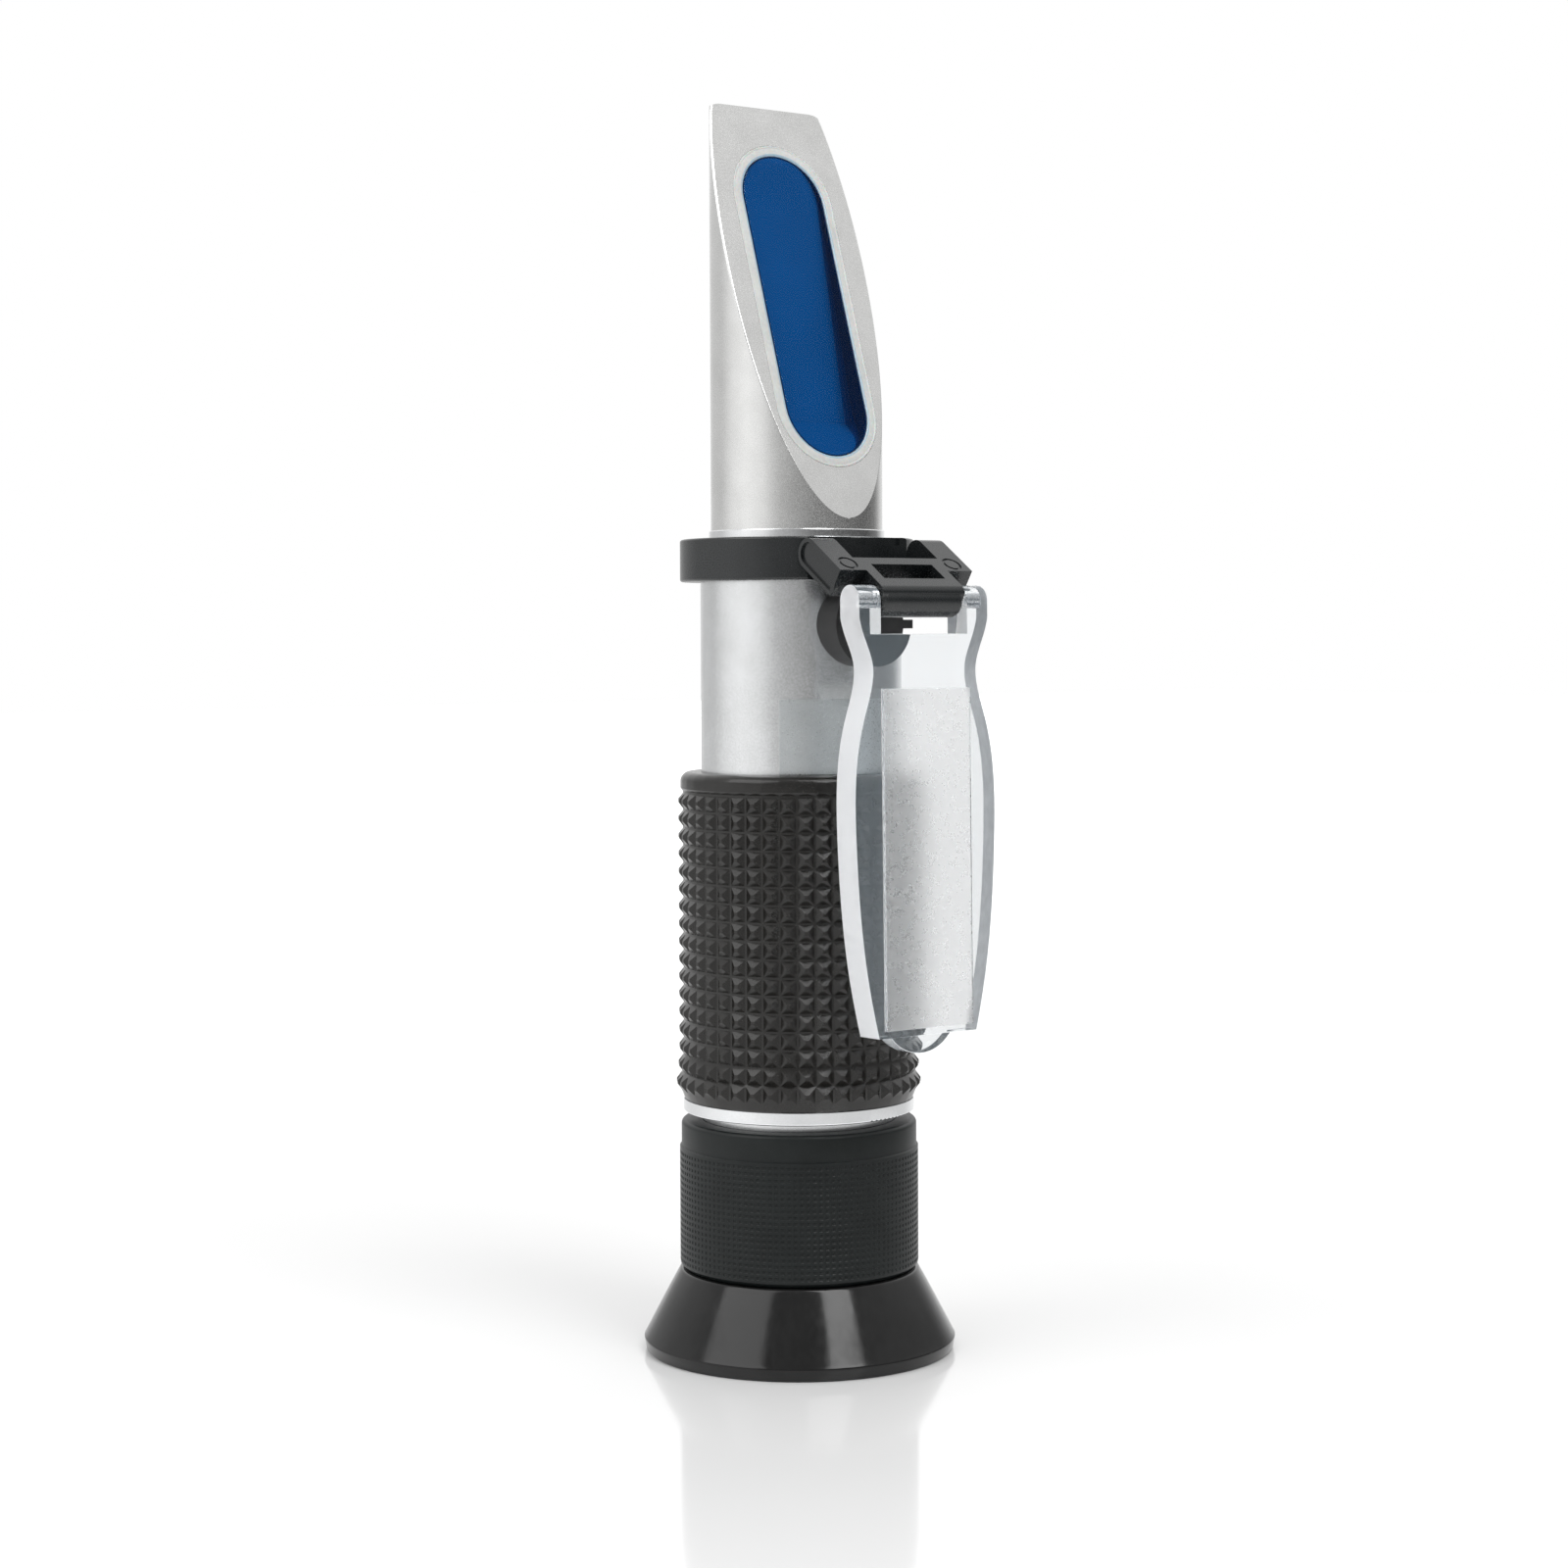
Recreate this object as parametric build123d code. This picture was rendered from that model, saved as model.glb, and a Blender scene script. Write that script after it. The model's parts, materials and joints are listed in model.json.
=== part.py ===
"""Hand-held brix refractometer, standing on its eyecup, with the daylight plate swung down.

The optical axis is Z and the eyecup's rim stands on z = 0. The slanted prism face looks towards -Y,
which is called the front, and the hinge pins run along X. Lengths are in millimetres.
"""

from build123d import *
from math import atan2, cos, degrees, radians, sin, sqrt
import os

os.makedirs("parts", exist_ok=True)

# Clearances
seat_gap = 0.02  # radial, between pieces that are pressed, glued or screwed together
running_gap = 0.05  # radial, between a shaft or screw and the bore it moves in
side_gap = 0.3  # along X, beside a hinge arm
lens_gap = 0.05  # along the axis, beside a lens

# Body tube, its flange and grip
tube_r = 12.4
tube_wall = 1.5
tube_bottom_z = 13.5
tube_top_z = 104.1
tube_neck_step = 0.7
tube_neck_h = 3.0
flange_wall = 2.45
flange_z = 30.8
flange_h = 1.6
flange_edge = 0.25
grip_top_z = 74.4
grip_rim_wall = 2.7
grip_rim_h = 2.35
grip_rim_groove = 0.25
grip_rim_round = 1.2
stud_root_wall = 2.0
stud_height = 1.05
stud_rows = 17
stud_pitch = 2.256
label_gap = 0.05
label_h = 9.4
label_half_angle = 47.0
label_thickness = 0.15
label_bottom_z = grip_top_z + label_gap
tube_bore_r = tube_r - tube_wall
tube_neck_r = tube_bore_r - tube_neck_step

# Focus ring
ring_band_wall = 2.75
ring_step = 0.22
ring_step_h = 0.1
ring_knurl_top_z = 26.25
ring_top_z = 29.65
ring_edge = 0.6
thread_land_wall = 0.85
spigot_wall = 0.85
ring_band_r = tube_r + ring_band_wall
ring_knurl_r = ring_band_r + ring_step
thread_land_r = tube_r + thread_land_wall
spigot_r = thread_land_r + spigot_wall

# Eyecup
eyecup_rim_r = 20.1
eyecup_rim_h = 1.7
eyecup_rim_step = 0.1
eyecup_neck_step = 0.05
eyecup_neck_z = 10.55
eyecup_mouth_wall = 1.5
eyecup_hollow_step = 1.4
eyecup_hollow_z = 6.4
eyecup_lip_h = 1.25
eyecup_lip_reach = 2.6
eyecup_shoulder_r = eyecup_rim_r - eyecup_rim_step
eyecup_neck_r = ring_knurl_r - eyecup_neck_step
eyecup_hollow_r = spigot_r + eyecup_hollow_step
eyecup_aperture_r = spigot_r - eyecup_lip_reach

# Collar with its hinge lug
collar_wall = 2.6
collar_h = 5.4
collar_edge = 0.35
collar_flat_step = 2.2
collar_relief_h = 1.0
lug_half_width = 6.35
lug_end_r = 1.0
lug_web_low = 1.55
lug_web_h = 1.4
set_screw_r = 1.0
set_screw_angle = 55.0
set_screw_depth = 0.4
set_screw_socket_r = 0.45
collar_r = tube_r + collar_wall
collar_flat_y = collar_r - collar_flat_step

# Prism housing
trim_ring_step = 0.25
trim_ring_h = 1.1
housing_step = 0.8
housing_wall = 1.5
housing_top_z = 160.0
housing_edge = 0.5
housing_r = tube_neck_r + housing_step
housing_bore_r = housing_r - housing_wall
trim_ring_r = housing_r + trim_ring_step
face_foot_inset = 0.05
face_top_share = 0.6  # of the housing's radius, behind the axis
face_foot_z = 106.7
face_wall = 1.6
face_corner_r = 1.3
window_low = 8.1
window_top_margin = 6.74
window_side_margin = 4.7
seal_width = 1.5
seal_proud = 0.08
prism_proud = 0.15
prism_depth = 6.0
clamp_thickness = 0.8
clamp_inset = 1.2
clamp_low = 12.0
clamp_high = 34.0
face_foot_y = housing_r - face_foot_inset
face_top_y = -housing_r * face_top_share
face_top_half = sqrt(housing_r**2 - face_top_y**2)
face_rise = housing_top_z - face_foot_z
face_angle = degrees(atan2(face_foot_y - face_top_y, face_rise))
face_length = face_rise / cos(radians(face_angle))
window_high = face_length - window_top_margin
window_half_width = housing_r - window_side_margin
clamp_half_width = window_half_width - clamp_inset

# Hinge link: its heel, pin and cover axis lie on or beside one sloping line
heel_step = 0.2
heel_z = 101.9
link_slope = 33.45
link_length = 10.68
link_half_thickness = 1.9
link_lift = 0.45  # how far the link's middle lies above its line
arm_width = 3.65
arm_reach = 7.5
heel_along = 0.8
arm_panel_depth = 0.3
arm_panel_border = 0.5
pin_along = 3.0
pin_above = 0.05
pin_r = 0.6
pin_blind_wall = 1.0
crossbar_start = 4.64
crossbar_end = 6.1
window_end = 9.3
link_window_half = 4.75
barrel_r = 2.05
barrel_round = 0.9
nose_reach = 1.22
nose_round = 1.0
mould_mark_r = 1.3
mould_mark_rim = 0.35
mould_mark_along = 5.9
mould_mark_inset = 0.35
mould_mark_depth = 0.15
heel_y = collar_r + heel_step
arm_inner_x = lug_half_width + side_gap
arm_outer_x = arm_inner_x + arm_width
arm_middle_x = arm_inner_x + arm_width / 2
pin_half_length = arm_outer_x - pin_blind_wall
barrel_half = lug_half_width
link_top = link_lift + link_half_thickness

# Daylight plate
plate_half_thickness = 1.9
cover_tilt = 0.7  # degrees, its foot hangs outwards
ear_gap = 0.35
ear_width = 3.3
ear_straight = 2.1
plate_top = 4.05
neck_x = 9.4
neck_drop = 4.1
waist_x = 8.1
waist_drop = 7.6
flare_x = 9.5
flare_drop = 14.5
belly_x = 10.8
belly_drop = 29.0
taper_x = 9.15
taper_drop = 46.0
foot_x = 7.6
foot_drop = 52.9
tab_half_width = 4.8
tab_drop = 55.3
tab_thickness = 2.3
pad_half_width = 6.75
pad_top = 10.7
pad_bottom = 52.0
pad_height = 0.45
plate_edge = 0.3
cover_pin_r = 0.9
cover_pin_wall = 0.6
ear_inner_x = barrel_half + ear_gap
ear_outer_x = ear_inner_x + ear_width
cover_pin_half = ear_outer_x - cover_pin_wall

# Calibration screw, its bush and its cap
screw_z = 93.2
screw_r = 1.6
screw_stand = 0.6
screw_slot_w = 0.6
screw_slot_h = 0.8
bush_wall = 1.6
bush_stand = 0.9
cap_wall = 2.1
cap_stand = 3.3
cap_crown = 0.4
cap_tab_reach = 6.8
cap_tab_half_h = 0.55
cap_tab_thickness = 1.0
screw_outer_y = tube_r + screw_stand
bush_r = screw_r + bush_wall
bush_outer_y = tube_r + bush_stand
cap_r = bush_r + cap_wall
cap_face_y = tube_r + cap_stand

# Optics inside the tube
cell_step = 1.6
cell_wall = 1.7
cell_bottom_z = 88.0
cell_land_z = 96.8
cell_top_z = 99.8
objective_z = 93.0
objective_edge = 1.4
lens_crown = 0.9
lens_seat_h = 0.8
strip_half_width = 2.0
strip_thickness = 0.6
strip_low_z = 78.0
strip_high_z = 95.0
strip_screw_z = 90.5
strip_screw_r = 0.8
strip_head_r = 1.4
strip_head_h = 0.6
holder_bottom_z = 44.0
holder_h = 6.0
holder_wall = 1.95
reticle_seat_w = 0.95
reticle_seat_h = 3.0
reticle_thickness = 1.5
stop_width = 2.45
stop_thickness = 0.8
cell_r = tube_bore_r - cell_step
cell_bore_r = cell_r - cell_wall
reticle_r = tube_bore_r - holder_wall
holder_bore_r = reticle_r - reticle_seat_w
stop_bore_r = reticle_r - stop_width

# Eyepiece
eyepiece_wall = 1.15
eyepiece_shoulder = 0.9
eyepiece_bottom_z = 8.0
eyepiece_top_z = 28.0
eyepiece_flange_z = 11.15
eyepiece_flange_h = 2.2
retainer_width = 1.3
retainer_h = 1.2
eye_lens_h = 3.95
spacer_h = 5.6
field_lens_h = 3.55
lock_ring_h = 3.15
eyepiece_r = tube_bore_r - running_gap
eyepiece_bore_r = eyepiece_r - eyepiece_wall
eyepiece_throat_r = eyepiece_bore_r - eyepiece_shoulder
retainer_bore_r = eyepiece_bore_r - retainer_width

# Places that follow from the sizes above
flange_land_r = thread_land_r - running_gap
collar_z = tube_top_z - collar_h
trim_top_z = tube_top_z + trim_ring_h
spigot_bottom_z = eyecup_hollow_z + eyecup_lip_h + 2 * seat_gap
ring_shoulder_z = tube_bottom_z + 2 * running_gap

FACE = Plane(
    origin=(0, -face_foot_y, face_foot_z),
    x_dir=(1, 0, 0),
    z_dir=(0, -cos(radians(face_angle)), sin(radians(face_angle))),
)
LINK = Plane(
    origin=(0, -heel_y, heel_z),
    x_dir=(0, -cos(radians(link_slope)), -sin(radians(link_slope))),
    z_dir=(-1, 0, 0),
)
SIDE = Plane(origin=(0, 0, 0), x_dir=(0, -1, 0), z_dir=(-1, 0, 0))
hinge_pin_place = LINK.from_local_coords((pin_along, pin_above, 0))
cover_axis = LINK.from_local_coords((link_length, 0, 0))
COVER = Plane(
    origin=cover_axis,
    x_dir=(1, 0, 0),
    z_dir=(0, -cos(radians(cover_tilt)), sin(radians(cover_tilt))),
)
SCREW = Plane(origin=(0, 0, screw_z), x_dir=(1, 0, 0), z_dir=(0, -1, 0))

UPRIGHT = (Align.CENTER, Align.CENTER, Align.MIN)  # a rod or block that stands on its plane


def lathe(points, rounds=()):
    """Solid of revolution about Z from (radius, height) points, with some corners rounded."""
    outline = make_face(Polyline(*points, close=True))
    for index, radius in rounds:
        corner = outline.vertices().sort_by_distance((*points[index], 0))[0]
        outline = fillet(corner, radius)
    return revolve(Rot(90, 0, 0) * outline, Axis.Z, 360)


def tube(outer_r, inner_r, low, high):
    """Plain ring about Z."""
    return lathe([(inner_r, low), (outer_r, low), (outer_r, high), (inner_r, high)])


def rod_x(radius, half_length, place):
    """Cylinder along X, centred on the middle plane."""
    return Pos(place) * Rot(0, 90, 0) * Cylinder(radius, 2 * half_length)


def bored(piece, radius, half_length, place):
    """The piece with a hole along X through the given place."""
    return piece - rod_x(radius, half_length, place)


def face_slot(half_width, low, high, bottom, top):
    """Rounded slot on the slanted face, from one height over the face to another."""
    outline = SlotOverall(high - low, 2 * half_width, rotation=90)
    return FACE * (Pos(0, (low + high) / 2, bottom) * extrude(outline, top - bottom))


def beyond_face(depth):
    """Everything on the outer side of a plane that lies this deep under the slanted face."""
    reach = 2 * housing_top_z
    block = Box(reach, reach, reach, align=UPRIGHT)
    return FACE * (Pos(0, 0, -depth) * block)


def lens(radius, low, high, crown):
    """Glass disc with two domed faces that bulge by crown."""
    sphere_r = (radius**2 + crown**2) / (2 * crown)
    edge_low = low + crown
    edge_high = high - crown
    outline = make_face(
        [
            Line((0, low), (0, high)),
            RadiusArc((0, high), (radius, edge_high), sphere_r),
            Line((radius, edge_high), (radius, edge_low)),
            RadiusArc((radius, edge_low), (0, low), sphere_r),
        ]
    )
    return revolve(Rot(90, 0, 0) * outline, Axis.Z, 360)


def face_corner(side):
    """What is rounded off at an upper corner of the slanted face."""
    centre_x = side * (face_top_half - face_corner_r)
    outward = Align.MIN if side > 0 else Align.MAX
    corner = Rectangle(2 * face_corner_r, 2 * face_corner_r, align=(outward, Align.MIN))
    corner -= Circle(face_corner_r)
    return FACE * (Pos(centre_x, face_length - face_corner_r) * extrude(corner, face_corner_r, both=True))


def make_prism_housing():
    spigot_z = tube_top_z - tube_neck_h
    spigot_wall_r = tube_neck_r - seat_gap
    shell = lathe(
        [
            (0, spigot_z),
            (spigot_wall_r, spigot_z),
            (spigot_wall_r, trim_top_z),
            (housing_r, trim_top_z),
            (housing_r, housing_top_z),
            (0, housing_top_z),
        ],
        rounds=[(4, housing_edge)],
    )
    bore_top_z = housing_top_z - face_wall
    bore = lathe(
        [
            (0, spigot_z),
            (housing_bore_r, spigot_z),
            (housing_bore_r, bore_top_z),
            (0, bore_top_z),
        ]
    )
    shell -= beyond_face(0)
    shell -= bore - beyond_face(face_wall)
    opening = face_slot(
        window_half_width + seal_width,
        window_low - seal_width,
        window_high + seal_width,
        -2 * face_wall,
        face_wall,
    )
    for side in (-1, 1):
        shell -= face_corner(side)
    return shell - opening


def make_main_prism():
    block = face_slot(
        window_half_width - seat_gap,
        window_low + seat_gap,
        window_high - seat_gap,
        -prism_depth,
        prism_proud,
    )
    return block & lathe(
        [
            (0, face_foot_z),
            (housing_bore_r - seat_gap, face_foot_z),
            (housing_bore_r - seat_gap, housing_top_z),
            (0, housing_top_z),
        ]
    )


def make_prism_seal():
    wide = seal_width - seat_gap
    ring = face_slot(
        window_half_width + wide, window_low - wide, window_high + wide, -face_wall, seal_proud
    )
    hole = face_slot(window_half_width, window_low, window_high, -2 * face_wall, face_wall)
    return ring - hole


def make_prism_clamp():
    depth = prism_depth + lens_gap
    plate = Box(
        2 * clamp_half_width,
        clamp_high - clamp_low,
        clamp_thickness,
        align=(Align.CENTER, Align.MIN, Align.MAX),
    )
    plate = FACE * (Pos(0, clamp_low, -depth) * plate)
    return plate & Pos(0, 0, housing_top_z / 2) * Cylinder(housing_bore_r - seat_gap, housing_top_z)


def make_body_tube():
    neck_z = tube_top_z - tube_neck_h
    body = lathe(
        [
            (tube_bore_r, tube_bottom_z),
            (tube_r, tube_bottom_z),
            (tube_r, tube_top_z),
            (tube_neck_r, tube_top_z),
            (tube_neck_r, neck_z),
            (tube_bore_r, neck_z),
        ]
    )
    return body - SCREW * Cylinder(bush_r + seat_gap, 2 * tube_r, align=UPRIGHT)


def lug_profile():
    """Side view of the lug: a web out of the collar with a round end about the hinge pin."""
    pin_y = -hinge_pin_place.Y
    web = Rectangle(pin_y - tube_r - collar_edge, lug_web_h, align=(Align.MAX, Align.MIN))
    return Pos(pin_y, hinge_pin_place.Z) * (Pos(0, -lug_web_low) * web + Circle(lug_end_r))


def screw_places():
    """Planes of the two set screws, at the back, looking outwards."""
    z = collar_z + collar_h / 2
    turns = (set_screw_angle, 180 - set_screw_angle)
    return [Pos(0, 0, z) * Rot(0, 0, turn) * Rot(0, 90, 0) for turn in turns]


def make_hinge_collar():
    ring = lathe(
        [
            (tube_r + seat_gap, collar_z),
            (collar_r, collar_z),
            (collar_r, tube_top_z),
            (tube_r + seat_gap, tube_top_z),
        ],
        rounds=[(1, collar_edge), (2, collar_edge)],
    )
    flat = Pos(0, -collar_flat_y, tube_top_z) * Box(
        4 * collar_r, collar_r, 4 * collar_h, align=(Align.CENTER, Align.MAX, Align.CENTER)
    )
    relief = Pos(0, -tube_r, tube_top_z - collar_relief_h) * Box(
        2 * arm_inner_x, collar_r, collar_h, align=(Align.CENTER, Align.MAX, Align.MIN)
    )
    ring -= flat + relief
    lug = SIDE * extrude(lug_profile(), lug_half_width, both=True)
    collar = bored(ring + lug, pin_r + seat_gap, lug_half_width * 2, hinge_pin_place)
    for place in screw_places():
        collar -= place * Cylinder(set_screw_r, 2 * collar_r, align=UPRIGHT)
    return collar


def make_set_screw(place):
    length = collar_r - set_screw_depth - tube_r - 2 * seat_gap
    body = Pos(0, 0, tube_r + 2 * seat_gap) * Cylinder(set_screw_r - seat_gap, length, align=UPRIGHT)
    hexagon = RegularPolygon(set_screw_socket_r, 6)
    socket = Pos(0, 0, collar_r - set_screw_depth) * extrude(hexagon, -length / 2)
    return place * (body - socket)


def make_grip():
    inner_r = tube_r + seat_gap
    bottom_z = flange_z + flange_h
    rim_z = grip_top_z - grip_rim_h
    first_z = rim_z - grip_rim_groove - stud_rows * stud_pitch
    root_r = tube_r + stud_root_wall
    rim_r = tube_r + grip_rim_wall
    points = [(inner_r, bottom_z), (root_r, bottom_z)]
    for row in range(stud_rows):
        points.append((root_r, first_z + row * stud_pitch))
        points.append((root_r + stud_height, first_z + (row + 0.5) * stud_pitch))
    points.append((root_r, first_z + stud_rows * stud_pitch))
    rim_index = len(points) + 2
    points += [(root_r, rim_z), (rim_r, rim_z), (rim_r, grip_top_z), (inner_r, grip_top_z)]
    return lathe(points, rounds=[(rim_index, grip_rim_round)])


def make_label():
    inner_r = tube_r + seat_gap
    strip = make_face(
        Polyline(
            (inner_r, label_bottom_z),
            (inner_r + label_thickness, label_bottom_z),
            (inner_r + label_thickness, label_bottom_z + label_h),
            (inner_r, label_bottom_z + label_h),
            close=True,
        )
    )
    start = Rot(0, 0, -90 - label_half_angle) * (Rot(90, 0, 0) * strip)
    return revolve(start, Axis.Z, 2 * label_half_angle)


def link_slab(low, high, half_x, thickness=link_half_thickness):
    """Block of the link between two places along its line."""
    outline = Pos(low, link_lift) * Rectangle(high - low, 2 * thickness, align=(Align.MIN, Align.CENTER))
    return LINK * extrude(outline, half_x, both=True)


def arm_profile(inset):
    """Side view of an arm: round heel, square outer end, drawn in by inset all round."""
    half = link_half_thickness - inset
    length = arm_reach - heel_along - inset
    straight = Rectangle(length, 2 * half, align=(Align.MIN, Align.CENTER))
    return Pos(heel_along, link_lift) * (straight + Circle(half))


def rounded_rod(radius, half_length, end_round):
    """Cylinder along X about the cover axis whose ends are rounded."""
    points = [(0, -half_length), (radius, -half_length), (radius, half_length), (0, half_length)]
    return Pos(cover_axis) * Rot(0, 90, 0) * lathe(points, rounds=[(1, end_round), (2, end_round)])


def make_barrel():
    """Bar that carries the cover: round below, and above it carries on the link's top to a rounded nose."""
    back = link_length - window_end
    nose = Rectangle(nose_reach + back, link_top, align=(Align.MAX, Align.MIN))
    corner = nose.vertices().sort_by_distance((0, link_top, 0))[0]
    nose = Pos(link_length + nose_reach, 0) * fillet(corner, nose_round)
    nose = LINK * extrude(nose, barrel_half, both=True)
    nose &= rounded_rod(link_top + back, barrel_half, barrel_round)
    return nose + rounded_rod(barrel_r, barrel_half, barrel_round)


def mould_mark(side):
    """Round groove pressed into the top of an arm."""
    centre_x = side * (arm_middle_x - mould_mark_inset)
    ring = Circle(mould_mark_r) - Circle(mould_mark_r - mould_mark_rim)
    place = Pos(mould_mark_along, link_top, centre_x) * Rot(90, 0, 0)
    return LINK * (place * extrude(ring, mould_mark_depth, both=True))


def make_hinge_link():
    body = link_slab(crossbar_start, link_length - barrel_round, barrel_half)
    body += link_slab(crossbar_start, arm_reach, arm_outer_x)
    body += make_barrel()
    for side in (-1, 1):
        arm = extrude(arm_profile(0), arm_width / 2, both=True)
        body += LINK * (Pos(0, 0, side * arm_middle_x) * arm)
        panel = extrude(arm_profile(arm_panel_border), arm_panel_depth, both=True)
        body -= LINK * (Pos(0, 0, side * arm_outer_x) * panel)
        body -= mould_mark(side)
    body -= link_slab(crossbar_end, window_end, link_window_half, 2 * link_half_thickness)
    body = bored(body, pin_r + running_gap, pin_half_length + running_gap, hinge_pin_place)
    return bored(body, cover_pin_r + seat_gap, 2 * barrel_half, cover_axis)


def plate_outline():
    """Front view of the plate, with its cover axis at the origin and its length along -Y."""
    half = [
        Line((0, plate_half_thickness), (ear_outer_x, plate_half_thickness)),
        Line((ear_outer_x, plate_half_thickness), (ear_outer_x, -ear_straight)),
        Spline(
            (ear_outer_x, -ear_straight),
            (neck_x, -neck_drop),
            (waist_x, -waist_drop),
            (flare_x, -flare_drop),
            (belly_x, -belly_drop),
            (taper_x, -taper_drop),
            (foot_x, -foot_drop),
        ),
        Line((foot_x, -foot_drop), (0, -foot_drop)),
        Line((0, -foot_drop), (0, plate_half_thickness)),
    ]
    right = make_face(half)
    return right + mirror(right, Plane.YZ)


def make_cover_plate():
    body = COVER * extrude(plate_outline(), plate_half_thickness, both=True)
    notch = Box(2 * ear_inner_x, 2 * plate_top, 4 * plate_half_thickness)
    body -= COVER * notch
    # The ears end in a half round about the cover axis
    corner = Rectangle(
        4 * plate_half_thickness, 2 * plate_half_thickness, align=(Align.CENTER, Align.MIN)
    )
    corner -= Circle(plate_half_thickness)
    body -= Plane(origin=cover_axis, x_dir=(0, -1, 0), z_dir=(-1, 0, 0)) * extrude(
        corner, 2 * ear_outer_x, both=True
    )
    rise = tab_drop - foot_drop
    tab_r = (tab_half_width**2 + rise**2) / (2 * rise)
    tab_disc = Pos(0, -tab_drop + tab_r) * Circle(tab_r)
    tab_disc &= Pos(0, -foot_drop + plate_edge) * Rectangle(
        4 * tab_half_width, 4 * rise, align=(Align.CENTER, Align.MAX)
    )
    body += COVER * (Pos(0, 0, -plate_half_thickness) * extrude(tab_disc, tab_thickness))
    pad = Pos(0, -(pad_top + pad_bottom) / 2) * Rectangle(2 * pad_half_width, pad_bottom - pad_top)
    body += COVER * (Pos(0, 0, plate_half_thickness - plate_edge) * extrude(pad, pad_height + plate_edge))
    return bored(body, cover_pin_r + running_gap, cover_pin_half + running_gap, cover_axis)


def make_calibration_bush():
    inner_y = tube_bore_r - screw_slot_h
    bush = Pos(0, 0, inner_y) * Cylinder(bush_r, bush_outer_y - inner_y, align=UPRIGHT)
    return SCREW * (bush - Cylinder(screw_r + running_gap, 4 * tube_r))


def make_calibration_screw():
    inner_y = cell_r + 2 * running_gap
    body = Pos(0, 0, inner_y) * Cylinder(screw_r, screw_outer_y - inner_y, align=UPRIGHT)
    slot = Pos(0, 0, screw_outer_y) * Box(4 * screw_r, screw_slot_w, 2 * screw_slot_h)
    return SCREW * (body - slot)


def make_calibration_cap():
    rim_y = cap_face_y - cap_crown
    crown_r = (cap_r**2 + cap_crown**2) / (2 * cap_crown)
    outline = make_face(
        [
            Line((0, 0), (cap_r, 0)),
            Line((cap_r, 0), (cap_r, rim_y)),
            RadiusArc((cap_r, rim_y), (0, cap_face_y), -crown_r),
            Line((0, cap_face_y), (0, 0)),
        ]
    )
    body = revolve(Rot(90, 0, 0) * outline, Axis.Z, 360)
    tab = Pos(0, 0, rim_y - cap_tab_thickness) * Box(
        cap_tab_reach, 2 * cap_tab_half_h, cap_tab_thickness, align=(Align.MIN, Align.CENTER, Align.MIN)
    )
    pocket = Cylinder(bush_r + running_gap, bush_outer_y + running_gap, align=UPRIGHT)
    body = SCREW * (body + tab - pocket)
    return body - Pos(0, 0, screw_z) * Cylinder(tube_r + running_gap, 4 * cap_r)


def make_objective_cell():
    land_r = tube_bore_r - seat_gap
    seat_z = objective_z - lens_seat_h
    cell = lathe(
        [
            (cell_bore_r - lens_seat_h, cell_bottom_z),
            (cell_r, cell_bottom_z),
            (cell_r, cell_land_z),
            (land_r, cell_land_z),
            (land_r, cell_top_z),
            (cell_bore_r, cell_top_z),
            (cell_bore_r, seat_z),
            (cell_bore_r - lens_seat_h, seat_z),
        ]
    )
    return cell - strip_screw_hole()


def strip_screw_hole():
    depth = cell_r - cell_bore_r / 2
    hole = Cylinder(strip_screw_r + seat_gap, depth, align=UPRIGHT)
    return Pos(0, cell_bore_r / 2, strip_screw_z) * Rot(-90, 0, 0) * hole


def make_compensation_strip():
    inner_y = cell_r + running_gap
    leaf = Box(
        2 * strip_half_width,
        strip_thickness,
        strip_high_z - strip_low_z,
        align=(Align.CENTER, Align.MIN, Align.MIN),
    )
    hole = Rot(-90, 0, 0) * Cylinder(strip_screw_r + seat_gap, 4 * tube_r)
    return Pos(0, inner_y, strip_low_z) * leaf - Pos(0, 0, strip_screw_z) * hole


def make_compensation_screw():
    head_y = cell_r + running_gap + strip_thickness
    shank_y = cell_bore_r + lens_gap
    shank = Pos(0, 0, shank_y) * Cylinder(strip_screw_r, head_y - shank_y, align=UPRIGHT)
    head = Pos(0, 0, head_y) * Cylinder(strip_head_r, strip_head_h, align=UPRIGHT)
    slot = Pos(0, 0, head_y + strip_head_h) * Box(4 * strip_head_r, strip_head_h / 2, strip_head_h)
    return Pos(0, 0, strip_screw_z) * Rot(-90, 0, 0) * (shank + head - slot)


def make_reticle_holder():
    seat_z = holder_bottom_z + reticle_seat_h
    top_z = holder_bottom_z + holder_h
    return lathe(
        [
            (holder_bore_r, holder_bottom_z),
            (tube_bore_r - seat_gap, holder_bottom_z),
            (tube_bore_r - seat_gap, top_z),
            (reticle_r + seat_gap, top_z),
            (reticle_r + seat_gap, seat_z),
            (holder_bore_r, seat_z),
        ]
    )


def make_reticle():
    low = holder_bottom_z + reticle_seat_h + seat_gap
    return Pos(0, 0, low) * Cylinder(reticle_r, reticle_thickness, align=UPRIGHT)


def make_field_stop():
    low = holder_bottom_z + reticle_seat_h + reticle_thickness + 2 * seat_gap
    return tube(reticle_r, stop_bore_r, low, low + stop_thickness)


def eyepiece_stack():
    """Heights of the pieces in the lens tube, from the eye upwards."""
    sizes = {
        "retainer": retainer_h,
        "eye_lens": eye_lens_h,
        "spacer": spacer_h,
        "field_lens": field_lens_h,
    }
    places = {}
    z = eyepiece_bottom_z + 4 * lens_gap
    for name, height in sizes.items():
        places[name] = (z, z + height)
        z += height + lens_gap
    places["shoulder"] = z
    return places


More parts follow.
